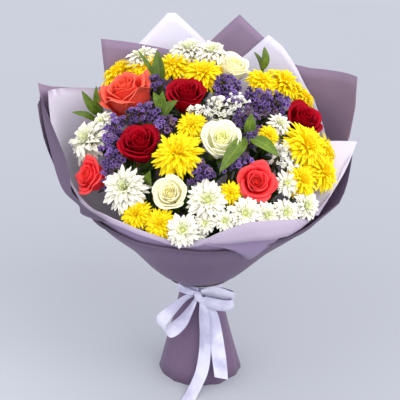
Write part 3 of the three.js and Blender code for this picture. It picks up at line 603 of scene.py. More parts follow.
class Grower:
    """A mesh under construction. Sheets get their thickness together, and closed bodies come after that."""

    def __init__(self, *finishes: Finish, draw: random.Random | None = None) -> None:
        """Starts an empty mesh.

        Args:
            finishes: Its finishes, the main one first.
            draw: Where its scatter is drawn from, if it has any.
        """
        self.finishes = finishes
        self.draw = draw
        self.mesh = bmesh.new()
        self.mesh.loops.layers.uv.new("UVMap")
        # This float layer carries each piece's own random lightness on flowers, leaves and stems, and painted
        # shade on paper.
        self.tone = self.mesh.verts.layers.float.new("tone")
        self.opening = self.mesh.verts.layers.float.new("opening")

    def grid(self, across: int, along: int, place: Place, finish: Finish | None = None,
             tone: float | Callable[[float, float], float] = 0.5, opening: float = 1.0) -> None:
        """Lays a grid on a surface.

        Args:
            across: Faces along u.
            along: Faces along v.
            place: The point at u and v, both from 0 to 1.
            finish: Its finish, or the main one.
            tone: What its finish reads as its own random lightness on petals, leaves and stems, and as
                painted shade on paper, as one value or by u and v.
            opening: What its finish reads as how far out a petal is.
        """
        made = bmesh.ops.create_grid(self.mesh, x_segments=across, y_segments=along, size=0.5, calc_uvs=True)
        index = self.finishes.index(finish) if finish else 0
        for vert in made["verts"]:
            u, v = vert.co.x + 0.5, vert.co.y + 0.5
            vert.co = place(u, v)
            vert[self.tone] = tone(u, v) if callable(tone) else tone
            vert[self.opening] = opening
            for face in vert.link_faces:
                face.material_index = index

    def lathe(self, profile: Table, size: float, sides: int, at: Vector, turn: Quaternion,
              finish: Finish | None = None, tone: float = 0.5, opening: float = 1.0) -> None:
        """A turned body whose profile starts and ends on its axis.

        Args:
            profile: Radius and height of each ring, for a size of 1.
            size: Its size.
            sides: Faces round it.
            at: Where its zero height is.
            turn: How it stands.
            finish: Its finish, or the main one.
            tone: Its own lightness.
            opening: What its finish reads as how far out a petal is.
        """

        def place(u: float, v: float) -> Vector:
            """The point on the turned surface."""
            radius, height = profile[round(v * (len(profile) - 1))]
            return at + turn @ polar(radius * size, TURN * u, height * size)

        self.grid(sides, len(profile) - 1, place, finish, tone, opening)

    def tube(self, route: Route, radius: float, taper: float, sides: int, finish: Finish | None = None,
             tone: float = 0.5) -> None:
        """A round stem along a route, closed at both ends.

        Args:
            route: Its middle line.
            radius: Its radius at the foot.
            taper: The share of the radius that it loses on its way.
            sides: Faces round it.
            finish: Its finish, or the main one.
            tone: Its own lightness.
        """
        rings = len(route.points) + 1

        def place(u: float, v: float) -> Vector:
            """Places the stem's skin.

            Args:
                u: How far round it.
                v: How far along it, from the middle of its foot to the middle of its top.

            Returns:
                The point.
            """
            ring = round(v * rings)
            i = min(max(ring - 1, 0), rings - 2)
            if ring in (0, rings):
                return route.points[i].copy()
            off = spoke(route.tangents[i], route.sides[i], -TURN * u)
            return route.points[i] + off * (radius * (1 - taper * i / (rings - 2)))

        self.grid(sides, rings, place, finish, tone)

    def close_seams(self) -> None:
        """Joins the edges that meet, and turns every face outwards."""
        bmesh.ops.remove_doubles(self.mesh, verts=self.mesh.verts[:], dist=SEAM)
        bmesh.ops.recalc_face_normals(self.mesh, faces=self.mesh.faces[:])
        self.mesh.normal_update()

    def thicken(self, thickness: float) -> None:
        """Makes every sheet so far a closed one."""
        self.close_seams()
        bmesh.ops.solidify(self.mesh, geom=self.mesh.faces[:], thickness=thickness)

    def finish(self, name: str, nodes: Sequence[str], slot: str) -> bpy.types.Object:
        """Closes the mesh, and sets it in the frame.

        Args:
            name: The piece's name.
            nodes: The CAD nodes that it stands for.
            slot: The record's slot of its main finish; not used.

        Returns:
            The piece.
        """
        self.close_seams()
        bmesh.ops.scale(self.mesh, vec=(MM, MM, MM), verts=self.mesh.verts[:])
        for face in self.mesh.faces:
            face.smooth = True
        data = bpy.data.meshes.new(name)
        self.mesh.to_mesh(data)
        self.mesh.free()
        data.set_sharp_from_angle(angle=SHARP)
        for finish in self.finishes:
            data.materials.append(finish.material())
        piece = in_scene(name, data)
        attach(piece, "root")
        if nodes:
            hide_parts(*nodes)
        log.info("%s: %d faces", name, len(data.polygons))
        return piece


# The bouquet's form


@dataclass(frozen=True)
class Bloom:
    """A bloom's place: the middle of its face, the way that it looks and its radius."""

    at: Vector
    axis: Vector
    radius: float


@dataclass(frozen=True)
class Dome:
    """The half ellipsoid that the blooms lie on. It leans towards the face."""

    centre: Point = (0, -10, 290)
    half_width: float = 165
    half_length: float = 185
    depth: float = 75
    lean: float = math.radians(42.4)

    def normal(self, point: Vector) -> Vector:
        """Tells which way the dome faces.

        Args:
            point: A point on it.

        Returns:
            The way, of length 1.
        """
        along = Vector((0, math.cos(self.lean), math.sin(self.lean)))
        out = Vector((0, -math.sin(self.lean), math.cos(self.lean)))
        off = point - Vector(self.centre)
        return (RIGHT * off.x / self.half_width ** 2 + along * off.dot(along) / self.half_length ** 2
                + out * off.dot(out) / self.depth ** 2).normalized()

    def bloom(self, at: Point, radius: float, aside: Point = (0, 0, 0)) -> Bloom:
        """A bloom that faces out from the dome, with its lean aside."""
        return Bloom(Vector(at), (self.normal(Vector(at)) + Vector(aside)).normalized(), radius)

    def under(self, carried: Sequence[Sequence[float]], drop: float, shift: Point) -> Vector:
        """Where a stem ends under what it carries.

        Args:
            carried: What it carries, each as x, y, z and more.
            drop: How far the stem's top is under their middle.
            shift: How far the top is moved from there.

        Returns:
            The stem's top.
        """
        middle = sum((Vector(item[:3]) for item in carried), Vector()) / len(carried)
        return middle - self.normal(middle) * drop + Vector(shift)


DOME = Dome()


@dataclass(frozen=True)
class StemLine:
    """A stem's middle line, read from its CAD solid, whose rings have so many corners."""

    node: str
    top: Vector
    corners: int = 4
    binding: float = 130
    levels: tuple[float, ...] = (0, 109, 129, 158, 208, 270)
    foot_slack: float = 0.3
    slack: float = 3.2
    clear: float = 12
    apart: float = 0.05

    def stations(self) -> list[Vector]:
        """Reads the stem's middle line.

        Returns:
            Its middle at each level where it bends, and then its top.
        """
        corners = [v.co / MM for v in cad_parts[self.node].data.vertices]
        found: list[Vector] = []
        for level in self.levels:
            splayed = level > self.binding
            if splayed and self.top.z <= level + self.clear:
                break
            slack = self.slack if level else self.foot_slack
            near = [corner for corner in corners if abs(corner.z - level) < slack]
            if splayed:
                guess = found[-1].lerp(self.top, (level - found[-1].z) / (self.top.z - found[-1].z))
                near.sort(key=lambda corner: (corner - guess).length)
            ring: list[Vector] = []
            for corner in near:
                if all((corner - other).length > self.apart for other in ring):
                    ring.append(corner)
            if splayed:
                ring = ring[:self.corners]
            if ring:
                found.append(sum(ring, Vector()) / len(ring))
        return [*found, self.top]


def back_along(stations: Sequence[Vector], drop: float) -> Vector:
    """A point on a stem's last stretch, so far below its top."""
    below, top = stations[-2:]
    return top.lerp(below, min(0.9, drop / (top - below).length))


@dataclass(frozen=True)
class Leaf:
    """A leaf blade from its root to its tip, folded along its rib."""

    root: Vector
    tip: Vector
    half: float
    facing: Vector
    lobes: int = 0
    lobe: float = 0.3
    fold: float = 0.22
    arch: float = 0.1
    droop: float = 0.06
    tip_half: float = 0.25

    def grow(self, grower: Grower, finish: Finish, across: int = 6, along: int = 9) -> None:
        """Lays the blade.

        Args:
            grower: The mesh that it joins.
            finish: Its finish.
            across: Faces across it.
            along: Faces along it.
        """
        way = self.tip - self.root
        length = way.length
        way.normalize()
        side = way.cross(self.facing).normalized()
        up = side.cross(way).normalized()

        def place(u: float, v: float) -> Vector:
            """Places the blade.

            Args:
                u: How far across it.
                v: How far along it.

            Returns:
                The point.
            """
            k = 2 * u - 1
            width = self.tip_half
            if v < 1:
                width = self.half * (0.06 + 0.94 * math.sin(math.pi * v ** 0.82) ** 0.85)
            width *= 1 - self.lobe * (0.5 - 0.5 * math.cos(TURN * self.lobes * v)) * abs(k)
            rise = self.fold * abs(k) * width + self.arch * length * math.sin(math.pi * v)
            rise += 0.05 * width * math.sin(9 * v + 3 * k) - self.droop * length * v * v
            return self.root + way * (length * v) + side * (k * width) + up * rise

        grower.grid(across, along, place, finish, grower.draw.random())


def foliage(grower: Grower, stations: Sequence[Vector], drops: Sequence[float], length: float, half: float,
            lobes: int) -> None:
    """Leaves set spirally on the last stretch of a stem, under the blooms, in a green darkened with painted
    shade.

    Args:
        grower: The mesh that they join.
        stations: The stem's stations.
        drops: How far below the stem's top each leaf grows.
        length: A leaf's length.
        half: Half its width.
        lobes: Lobes along a leaf's edge.
    """
    draw = grower.draw
    axis = (stations[-1] - stations[-2]).normalized()
    side = axis.orthogonal().normalized()
    start = draw.uniform(0, TURN)
    for i, drop in enumerate(drops):
        root = back_along(stations, drop)
        out = spoke(axis, side, start + i * GOLDEN_ANGLE)
        way = (out * draw.uniform(0.6, 0.95) + axis * draw.uniform(0.7, 1.0)).normalized()
        tip = root + way * length * draw.uniform(0.8, 1.15)
        leaf = Leaf(root, tip, half * draw.uniform(0.8, 1.1), axis, lobes, droop=0.12)
        # These leaves take the darker green, which is painted shade.
        leaf.grow(grower, Finish.LEAF_DARK)


# Roses


@dataclass(frozen=True)
class RoseForm:
    """How a rose is built: its finish, how far its petals roll back, and how wide their margin is.

    The last two say how much the petals cup and how pointed they are.
    """

    finish: Finish
    roll: float = 1.0
    margin: float = 1.0
    cup: float = 0.0
    point: float = 1.0


class RoseHue(Enum):
    """The sorts of rose, by their colour."""

    CORAL = RoseForm(Finish.ROSE_CORAL)
    SCARLET = RoseForm(Finish.ROSE_SCARLET)
    RED = RoseForm(Finish.ROSE_RED, 0.8, 0.85, 0.06, 0.5)
    WHITE = RoseForm(Finish.ROSE_WHITE, 0.55, 0.75, 0.12, 0.25)
    CREAM = RoseForm(Finish.ROSE_CREAM, 0.65, 0.8, 0.1, 0.3)


@dataclass(frozen=True)
class RoseWhorl:
    """One ring of rose petals, in shares of the bloom's radius."""

    count: int
    reach: float
    rim: float
    margin: float
    bend: float
    half: float


@dataclass(frozen=True)
class Rose:
    """A cut rose: an open bloom of overlapping petals, and a stem with sepals and leaves.

    Its depth and its sepals are in shares of its radius, and its thorns stand at shares of its stem.
    """

    name: str
    hue: RoseHue
    at: Point
    radius: float
    aside: Point = (0, 0, 0)
    petal_faces: int = 11
    petal_thickness: float = 0.35
    upright: float = 0.62
    depth: float = 1.45
    clearance: float = 0.4
    stem_radius: float = 2.8
    stem_taper: float = 0.12
    sepals: int = 5
    sepal_foot: float = 0.16
    sepal_sink: float = 0.1
    sepal_reach: float = 0.62
    sepal_droop: tuple[float, float] = (0.12, 0.3)
    sepal_half: float = 0.13
    sepal_thickness: float = 0.6
    leaf_drops: tuple[float, ...] = (16, 24, 40, 50)
    leaf_share: float = 0.95
    leaf_more: float = 14
    leaf_half: float = 9.5
    thorns: int = 5
    thorn_start: float = 0.5
    thorn_step: float = 0.09
    heart: Table = ((0, -0.5), (0.12, -0.4), (0.13, -0.1), (0.06, 0.1), (0, 0.11))
    hip: Table = ((0, -0.36), (0.12, -0.324), (0.228, -0.168), (0.24, -0.048), (0.216, 0), (0, 0))
    thorn: Table = ((0, -0.6), (1.3, -0.6), (0.7, 1.2), (0, 3.2))
    whorls: tuple[RoseWhorl, ...] = (
        RoseWhorl(5, 0.7, -0.2, 0.5, 2.0, 0.86), RoseWhorl(5, 0.62, -0.06, 0.36, 1.7, 0.86),
        RoseWhorl(4, 0.43, 0.12, 0.22, 1.3, 1.0), RoseWhorl(4, 0.33, 0.18, 0.17, 0.8, 1.05),
        RoseWhorl(4, 0.23, 0.2, 0.13, 0.3, 1.2), RoseWhorl(3, 0.13, 0.19, 0.1, -0.4, 1.5),
    )

    def _petal(self, whorl: RoseWhorl, opening: float, azimuth: float, draw: random.Random) -> Place:
        """The surface of one petal on the rose's own axes.

        Args:
            whorl: The whorl that it is in.
            opening: 0 for the innermost petals and 1 for the outermost.
            azimuth: Where its middle is round the bloom.
            draw: Where the scatter is drawn from.

        Returns:
            The place of u across and v along the petal.
        """
        form = self.hue.value
        reach = (whorl.reach + opening * (1 - form.margin) * 0.16) * draw.uniform(0.94, 1.05)
        rim = whorl.rim + opening * form.cup + draw.uniform(-0.035, 0.035)
        foot = lerp(-0.6, -1.3, opening)
        half = whorl.half * draw.uniform(0.95, 1.12)
        bend = whorl.bend * lerp(1, form.roll, opening) * draw.uniform(0.75, 1.15)
        margin = whorl.margin * lerp(1, form.margin, opening) * draw.uniform(0.9, 1.1)
        wave = draw.uniform(0, TURN)
        lean = draw.uniform(-0.05, 0.05)

        def place(u: float, v: float) -> Vector:
            """Places the petal.

            Args:
                u: How far across it.
                v: How far along it.

            Returns:
                The point.
            """
            k = 2 * u - 1
            low = min(1.0, v / self.upright)
            top = max(0.0, (v - self.upright) / (1 - self.upright))
            peak = form.point * opening * math.exp(-(k / 0.3) ** 2)
            radius = reach * (0.1 + 0.9 * math.sin(0.5 * math.pi * low) ** 0.9)
            radius += (0.05 * k + 0.03 * abs(k)) * low
            height = lerp(foot, rim, low) + lean * k * low - 0.1 * k ** 4 * low
            swing = bend * top * (1 - 0.25 * peak + 0.15 * k * k)
            swing = swing if abs(swing) > 1e-3 else 1e-3
            length = margin * top * (0.85 + 0.4 * peak - 0.5 * k ** 4)
            radius += length * (1 - math.cos(swing)) / swing + 0.02 * opening * math.sin(4 * k + wave) * top
            height += length * math.sin(swing) / swing + 0.035 * opening * math.sin(3.5 * k + 2 * wave) * top
            narrow = 0.35 + 0.65 * math.sin(0.5 * math.pi * min(1.0, v / 0.7)) - 0.12 * top * top
            return polar(radius, azimuth + k * half * narrow, height) * self.radius

        return place

    def build(self) -> None:
        """Builds the bloom and the stem."""
        draw = random.Random("rose " + self.name)
        at = Vector(self.at)
        axis = DOME.bloom(self.at, self.radius, self.aside).axis
        turn = standing(axis, draw.uniform(0, TURN))
        main = self.hue.value.finish
        bloom = Grower(main, draw=draw)
        for j, whorl in enumerate(self.whorls):
            opening = 1 - j / (len(self.whorls) - 1)
            for i in range(whorl.count):
                azimuth = TURN * i / whorl.count + j * GOLDEN_ANGLE + draw.uniform(-0.15, 0.15)
                petal = self._petal(whorl, opening, azimuth, draw)
                faces = self.petal_faces
                bloom.grid(faces, faces, lambda u, v, petal=petal: at + turn @ petal(u, v), None,
                           draw.random(), opening)
        bloom.thicken(self.petal_thickness)
        bloom.lathe(self.heart, self.radius, 9, at, turn, opening=0.0)
        bloom.finish(f"rose_{self.name}_bloom", [f"rose_{self.name}_head"], main.slot)
        self._stem(axis, draw)

    def _sepals(self, grower: Grower, top: Vector, axis: Vector) -> None:
        """Sets the sepals under the bloom.

        Args:
            grower: The mesh that they join.
            top: The top of the stem.
            axis: The way that the bloom looks.
        """
        draw = grower.draw
        side = axis.orthogonal().normalized()
        for i in range(self.sepals):
            out = spoke(axis, side, TURN * i / self.sepals + draw.uniform(-0.15, 0.15))
            root = top + out * self.sepal_foot * self.radius - axis * self.sepal_sink * self.radius
            fall = axis * draw.uniform(*self.sepal_droop) * self.radius
            tip = top + out * self.sepal_reach * self.radius - fall
            Leaf(root, tip, self.sepal_half * self.radius, axis, arch=0.16).grow(grower, Finish.LEAF, 4, 6)

    def _thorns(self, grower: Grower, route: Route) -> None:
        """Sets a few thorns on the upper part of the stem.

        Args:
            grower: The mesh that they join.
            route: The stem's middle line.
        """
        for i in range(self.thorns):
            point, tangent, side = route.at(self.thorn_start + self.thorn_step * i)
            out = Quaternion(tangent, grower.draw.uniform(0, 6.28)) @ side
            way = (out - tangent * 0.3).normalized()
            grower.lathe(self.thorn, 1, 5, point + out * self.stem_radius * 0.85, standing(way))

    def _stem(self, axis: Vector, draw: random.Random) -> None:
        """Builds the stem with its hip, sepals, leaves and thorns.

        Args:
            axis: The way that the bloom looks.
            draw: Where the scatter is drawn from.
        """
        node = f"rose_{self.name}_stem"
        top = Vector(self.at) - axis * (self.depth * self.radius + self.clearance)
        stations = StemLine(node, top, 5).stations()
        green = Grower(Finish.STEM, Finish.LEAF, Finish.LEAF_DARK, draw=draw)
        self._sepals(green, top, axis)
        leaf_length = self.leaf_share * self.radius + self.leaf_more
        foliage(green, stations, self.leaf_drops, leaf_length, self.leaf_half, 0)
        green.thicken(self.sepal_thickness)
        green.lathe(self.hip, self.radius, 14, top, standing(axis))
        route = Route([*stations[:-1], top - axis * 0.3 * self.radius])
        green.tube(route, self.stem_radius, self.stem_taper, 9)
        self._thorns(green, route)
        green.finish(f"rose_{self.name}_cane", [node], Finish.STEM.slot)


# Chrysanthemums


@dataclass(frozen=True)
class Whorl:
    """One ring of ray petals: how many, how far out and how high their tips are, and their half width."""

    count: int
    reach: float
    rise: float
    half: float


class MumForm(Enum):
    """How a chrysanthemum's rays are set: its whorls from the outside in, and its open disc."""

    DOUBLE = ((Whorl(27, 1.0, -0.28, 0.072), Whorl(27, 1.0, -0.1, 0.072), Whorl(25, 0.93, 0.05, 0.07),
               Whorl(22, 0.8, 0.18, 0.068), Whorl(18, 0.64, 0.27, 0.066), Whorl(13, 0.46, 0.32, 0.064),
               Whorl(9, 0.28, 0.35, 0.06), Whorl(5, 0.12, 0.35, 0.045)), 0.0)
    SHAGGY = ((Whorl(20, 1.0, -0.3, 0.1), Whorl(20, 1.0, -0.1, 0.105), Whorl(18, 0.95, 0.07, 0.1),
               Whorl(15, 0.8, 0.2, 0.1), Whorl(12, 0.58, 0.3, 0.092), Whorl(9, 0.36, 0.34, 0.08),
               Whorl(5, 0.16, 0.36, 0.06)), 0.0)
    DAISY = ((Whorl(18, 1.0, -0.16, 0.12), Whorl(18, 0.99, -0.02, 0.12), Whorl(15, 0.85, 0.12, 0.11),
              Whorl(12, 0.62, 0.2, 0.1), Whorl(9, 0.38, 0.24, 0.075)), 0.14)


@dataclass(frozen=True)
class Spray:
    """A spray of chrysanthemums: blooms on pedicels that leave one leafy stem.

    A bloom's depth and the top of its pedicel are in shares of its radius.
    """

    name: str
    main: Finish
    form: MumForm
    blooms: tuple[tuple[float, float, float, float], ...]
    shift: Point = (0, 0, 0)
    fullness: float = 1.2
    drop: float = 62
    depth: float = 0.75
    small: float = 16
    small_share: float = 0.82
    ray_faces: int = 4
    petal_thickness: float = 0.35
    stem_radius: float = 2.4
    pedicel_radius: float = 1.6
    pedicel_top: float = 0.68
    pedicel_start: float = 2
    pedicel_step: float = 11
    taper: float = 0.15
    leaf_size: tuple[float, float] = (36, 11)
    leaf_lobes: int = 3
    stem_drops: tuple[float, ...] = (2, 9, 17, 26, 38)
    small_leaf_size: tuple[float, float] = (22.32, 6.82)
    pedicel_drops: tuple[float, ...] = (8, 22)
    florets: int = 34
    cup: Table = ((0, -0.72), (0.12, -0.66), (0.3, -0.42), (0.36, -0.28), (0.26, -0.17), (0, -0.14))
    cushion: Table = ((0, -0.9), (0.9, -0.8), (1, -0.35), (0.75, 0.05), (0.35, 0.2), (0, 0.22))
    floret: Table = ((0, -1), (1, 0), (0.8, 1.3), (0, 1.5))

    def _ray(self, whorl: Whorl, radius: float, azimuth: float, draw: random.Random) -> Place:
        """The surface of one ray petal on the bloom's own axes.

        Args:
            whorl: The whorl that it is in.
            radius: The bloom's radius.
            azimuth: Where it is round the bloom.
            draw: Where the scatter is drawn from.

        Returns:
            The place of u across and v along the petal.
        """
        disc = self.form.value[1]
        reach = whorl.reach * draw.uniform(0.8, 1.08)
        rise = whorl.rise + draw.uniform(-0.12, 0.12)
        start = max(0.05, 0.6 * disc)
        low = -0.2 if disc else lerp(-0.02, -0.22, whorl.reach)
        mid = 0.5 * (start + reach)
        high = max(low, rise) + (0.14 if disc else 0.2) * whorl.reach
        half = whorl.half * draw.uniform(0.88, 1.12)
        twist = draw.uniform(-0.35, 0.35)
        sway = draw.uniform(-0.1, 0.1)
        widths = (0.45, 0.75, 0.98, 0.95, 0.4) if disc else (0.45, 0.72, 0.9, 1.0, 0.45)

        def place(u: float, v: float) -> Vector:
            """Places the petal.

            Args:
                u: How far across it.
                v: How far along it.

            Returns:
                The point.
            """
            k = 2 * u - 1
            width = half * widths[round(self.ray_faces * v)]
            out = (1 - v) ** 2 * start + 2 * v * (1 - v) * mid + v * v * reach - 0.07 * abs(k) * (v > 0.99)
            height = (1 - v) ** 2 * low + 2 * v * (1 - v) * high + v * v * rise
            height += 0.45 * width * k * k + twist * width * k * v
            angle = azimuth + sway * v * v
            aside = Vector((-math.sin(angle), math.cos(angle), 0)) * (k * width)
            return (polar(out, angle, height) + aside) * radius

        return place

    def _head(self, grower: Grower, bloom: Bloom) -> None:
        """Sets the rays of one bloom.

        Args:
            grower: The mesh that they join.
            bloom: Where the bloom is.
        """
        draw = grower.draw
        turn = standing(bloom.axis, draw.uniform(0, TURN))
        fewer = self.small_share if bloom.radius < self.small * self.fullness else 1.0
        whorls, _ = self.form.value
        for j, whorl in enumerate(whorls):
            count = max(4, round(whorl.count * fewer))
            for i in range(count):
                azimuth = (i + 0.5 * (j % 2) + draw.uniform(-0.32, 0.32)) * TURN / count + 0.3 * j
                ray = self._ray(whorl, bloom.radius, azimuth, draw)
                grower.grid(2, self.ray_faces, lambda u, v, ray=ray: bloom.at + turn @ ray(u, v), None,
                            draw.random(), 1 - j / len(whorls))

    def _heart(self, grower: Grower, bloom: Bloom) -> None:
        """Adds one bloom's green cup, and its disc of tiny florets if it shows.

        Args:
            grower: The mesh that they join.
            bloom: Where the bloom is.
        """
        turn = standing(bloom.axis)
        grower.lathe(self.cup, bloom.radius, 12, bloom.at, turn, Finish.STEM, 0.6)
        disc = self.form.value[1] * bloom.radius
        if not disc:
            return
        green = Finish.CHRYSANTHEMUM_DISC
        grower.lathe(self.cushion, disc, 12, bloom.at, turn, green, 0.4)
        side = bloom.axis.orthogonal().normalized()
        for i in range(self.florets):
            share = math.sqrt((i + 0.5) / self.florets)
            out = spoke(bloom.axis, side, i * GOLDEN_ANGLE)
            foot = bloom.at + out * disc * share + bloom.axis * disc * (0.12 - 0.4 * share ** 2)
            size = 0.11 * disc * grower.draw.uniform(0.8, 1.2)
            way = (bloom.axis + out * 0.5 * share).normalized()
            grower.lathe(self.floret, size, 5, foot, standing(way), green, grower.draw.random())

    def build(self) -> None:
        """Builds the whole spray as one piece."""
        node = "chrysanthemum_" + self.name
        stations = StemLine(node, DOME.under(self.blooms, self.drop, self.shift)).stations()
        grower = Grower(self.main, Finish.STEM, Finish.LEAF_DARK, Finish.CHRYSANTHEMUM_DISC,
                        draw=random.Random("spray " + self.name))
        blooms = [DOME.bloom(b[:3], b[3] * self.fullness) for b in self.blooms]
        for bloom in blooms:
            self._head(grower, bloom)
        pedicels = []
        for i, bloom in enumerate(blooms):
            start = back_along(stations, self.pedicel_start + self.pedicel_step * i)
            base = bloom.at - bloom.axis * (self.pedicel_top * bloom.radius)
            under = base - bloom.axis * 0.4 * (base - start).length
            pedicels.append(Route([start, start.lerp(base, 0.6).lerp(under, 0.3), base]))
            foliage(grower, [start, base], self.pedicel_drops, *self.small_leaf_size, self.leaf_lobes)
        foliage(grower, stations, self.stem_drops, *self.leaf_size, self.leaf_lobes)
        grower.thicken(self.petal_thickness)
        for bloom in blooms:
            self._heart(grower, bloom)
        for pedicel in pedicels:
            grower.tube(pedicel, self.pedicel_radius, self.taper, 6, Finish.STEM)
        grower.tube(Route(stations), self.stem_radius, self.taper, 8, Finish.STEM)
        grower.finish(node + "_spray", [node], self.main.slot)


# Statice


class BloomGuard:
    """Knows the room that the blooms take, so that florets stay out of it."""

    def __init__(self, roses: Sequence[Rose], sprays: Sequence[Spray]) -> None:
        """Lists the blooms, each with its depth in shares of its radius."""
        self.blooms = [(DOME.bloom(rose.at, rose.radius, rose.aside), rose.depth) for rose in roses]
        self.blooms += [(DOME.bloom(b[:3], b[3]), spray.depth) for spray in sprays for b in spray.blooms]

    def holds(self, point: Vector, margin: float) -> bool:
        """Tells whether a point is in a bloom or close to one.

        Args:
            point: The point.
            margin: How close is too close.

        Returns:
            True if it is.
        """
        for bloom, depth in self.blooms:
            deep = depth * bloom.radius
            off = point - bloom.at
            high = off.dot(bloom.axis)
            wide = (off - bloom.axis * high).length
            taper = min(1.0, max(0.3, 1 + (high + 0.5 * deep) / (0.6 * deep)))
            near = off.length <= 1.6 * bloom.radius + margin
            level = -deep - margin < high < 0.3 * bloom.radius + margin
            if near and level and wide < taper * bloom.radius + margin:
                return True
        return False


@dataclass(frozen=True)
class Statice:
    """A spray of statice: wiry branchlets that end in crinkled papery cups, in flat clusters.

    A cluster is its middle, its reach and how many branchlets it has. Its twigs leave a fork of the stem
    between the fork's bend and its top, which are so far under the cluster's middle.
    """

    name: str
    main: Finish
    clusters: tuple[tuple[float, float, float, float, int], ...]
    shift: Point = (0, 0, 0)
    more: tuple[tuple[float, float, float, float, int], ...] = ()
    drop: float = 46
    crowd: int = 7
    reach_more: float = 6.5
    cluster_rise: float = 3
    cluster_fall: float = 0.018
    uneven: tuple[float, float] = (-9, 5)
    room: float = 0.5
    cup_sizes: tuple[float, float] = (0.62, 1.2)
    cup_tilt: float = 0.35
    cup_openings: tuple[float, float] = (0.1, 1.6)
    cup_radius: float = 3.2
    cup_length: float = 7.5
    cup_thickness: float = 0.3
    lobes: int = 5
    stem_radius: float = 2.4
    fork_radius: float = 1.6
    fork_start: float = 2
    fork_step: float = 9
    fork_bend: float = 20
    fork_top: float = 7
    twig_radius: float = 0.6
    twig_sag: float = 1.5
    rings: tuple[tuple[float, float], ...] = ((0.1, -1.0), (0.42, -0.35), (0.72, -0.1), (1.0, 0.08))

    def _cup(self, tip: Vector, way: Vector, size: float, draw: random.Random) -> Place:
        """The surface of one papery cup.

        Args:
            tip: The middle of its mouth.
            way: The way that it opens.
            size: Its size, where 1 is the usual one.
            draw: Where the scatter is drawn from.

        Returns:
            The place of u round it and v along it.
        """
        turn = standing(way, draw.uniform(0, TURN))
        ruffle = draw.uniform(0.16, 0.3)

        def place(u: float, v: float) -> Vector:
            """Places the cup.

            Args:
                u: How far round it.
                v: How far up it.

            Returns:
                The point.
            """
            share, height = self.rings[round(v * (len(self.rings) - 1))]
            angle = TURN * u
            radius = self.cup_radius * size * share * (1 + ruffle * v * math.cos(self.lobes * angle))
            lift = self.cup_length * size * height + 0.9 * v * v * size * math.sin(2 * self.lobes * angle + 1)
            return tip + turn @ polar(radius, angle, lift)

        return place

    def _florets(self, cluster: Sequence[float], guard: BloomGuard,
                 draw: random.Random) -> list[tuple[Vector, Vector, float]]:
        """Where the cups of one cluster are.

        Args:
            cluster: The cluster.
            guard: Keeps them out of the blooms.
            draw: Where the scatter is drawn from.

        Returns:
            The tip, the foot and the size of each.
        """
        *centre, reach, branches = cluster
        middle = Vector(centre)
        axis = DOME.normal(middle)
        side = RIGHT.cross(axis).normalized()
        count = branches * self.crowd
        phase = draw.uniform(0, 6)
        found = []
        for i in range(count):
            share = (i + 0.5) / count
            angle = i * GOLDEN_ANGLE + draw.uniform(-0.3, 0.3)
            away = (reach + self.reach_more) * math.sqrt(share) * (0.92 + 0.22 * math.sin(3 * angle + phase))
            rise = self.cluster_rise - self.cluster_fall * away * away + draw.uniform(*self.uneven)
            tip = middle + spoke(axis, side, angle) * away + axis * rise
            if not guard.holds(tip, self.room):
                foot = middle - axis * lerp(self.fork_top, self.fork_bend, share)
                found.append((tip, foot, draw.uniform(*self.cup_sizes)))
        return found

    def build(self, guard: BloomGuard) -> None:
        """Builds the whole spray as one piece.

        Args:
            guard: Keeps it out of the blooms.
        """
        draw = random.Random("statice " + self.name)
        node = "statice_" + self.name
        stations = StemLine(node, DOME.under(self.clusters, self.drop, self.shift)).stations()
        grower = Grower(self.main, Finish.TWIG, draw=draw)
        twigs = []
        for k, cluster in enumerate((*self.clusters, *self.more)):
            centre = Vector(cluster[:3])
            axis = DOME.normal(centre)
            start = back_along(stations, self.fork_start + self.fork_step * k)
            fork = Route([start, centre - axis * self.fork_bend, centre - axis * self.fork_top], 3)
            twigs.append((fork, self.fork_radius, 6))
            for tip, foot, size in self._florets(cluster, guard, draw):
                way = (tip - foot).normalized()
                neck = tip - way * self.cup_length * size * 0.9
                twig = Route([foot, foot.lerp(tip, 0.5) - axis * self.twig_sag, neck], 2)
                twigs.append((twig, self.twig_radius, 4))
                askew = Vector([draw.uniform(-self.cup_tilt, self.cup_tilt) for _ in range(3)])
                cup = self._cup(tip, (way + askew).normalized(), size, draw)
                grower.grid(2 * self.lobes, len(self.rings) - 1, cup, None, draw.random(),
                            draw.uniform(*self.cup_openings))
        grower.thicken(self.cup_thickness)
        for route, radius, sides in twigs:
            grower.tube(route, radius, 0, sides, Finish.TWIG, draw.random())
        grower.tube(Route(stations), self.stem_radius, 0.2, 8, Finish.TWIG)
        grower.finish(node + "_spray", [node], self.main.slot)


# Leafy stems


@dataclass(frozen=True)
class Sprig:
    """A leafy stem: each leaf as its root, its tip and half its width."""

    name: str
    leaves: tuple[tuple[Point, Point, float], ...]
    shift: Point = (0, 0, 0)
    drop: float = 20
    leaf_thickness: float = 0.6
    stem_radius: float = 2.4
    stalk_radius: float = 1.0
    stalk_start: float = 1
    stalk_step: float = 5

    def build(self) -> None:
        """Builds the stem with its leaves as one piece."""
        node = "leafy_stem_" + self.name
        leaves = [(Vector(root), Vector(tip), half) for root, tip, half in self.leaves]
        top = DOME.under([root for root, _, _ in leaves], self.drop, self.shift)
        stations = StemLine(node, top).stations()
        grower = Grower(Finish.LEAF, Finish.STEM, draw=random.Random("sprig " + self.name))
        for root, tip, half in leaves:
            Leaf(root, tip, half, DOME.normal(tip)).grow(grower, Finish.LEAF, 8, 14)
        grower.thicken(self.leaf_thickness)
        for i, (root, tip, _) in enumerate(leaves):
            start = back_along(stations, self.stalk_start + self.stalk_step * i)
            stalk = Route([start, root, root.lerp(tip, 0.12)], 3)
            grower.tube(stalk, self.stalk_radius, 0.3, 6, Finish.STEM)
        grower.tube(Route(stations), self.stem_radius, 0.35, 8, Finish.STEM)
        grower.finish(node + "_sprig", [node], Finish.LEAF.slot)


# Paper


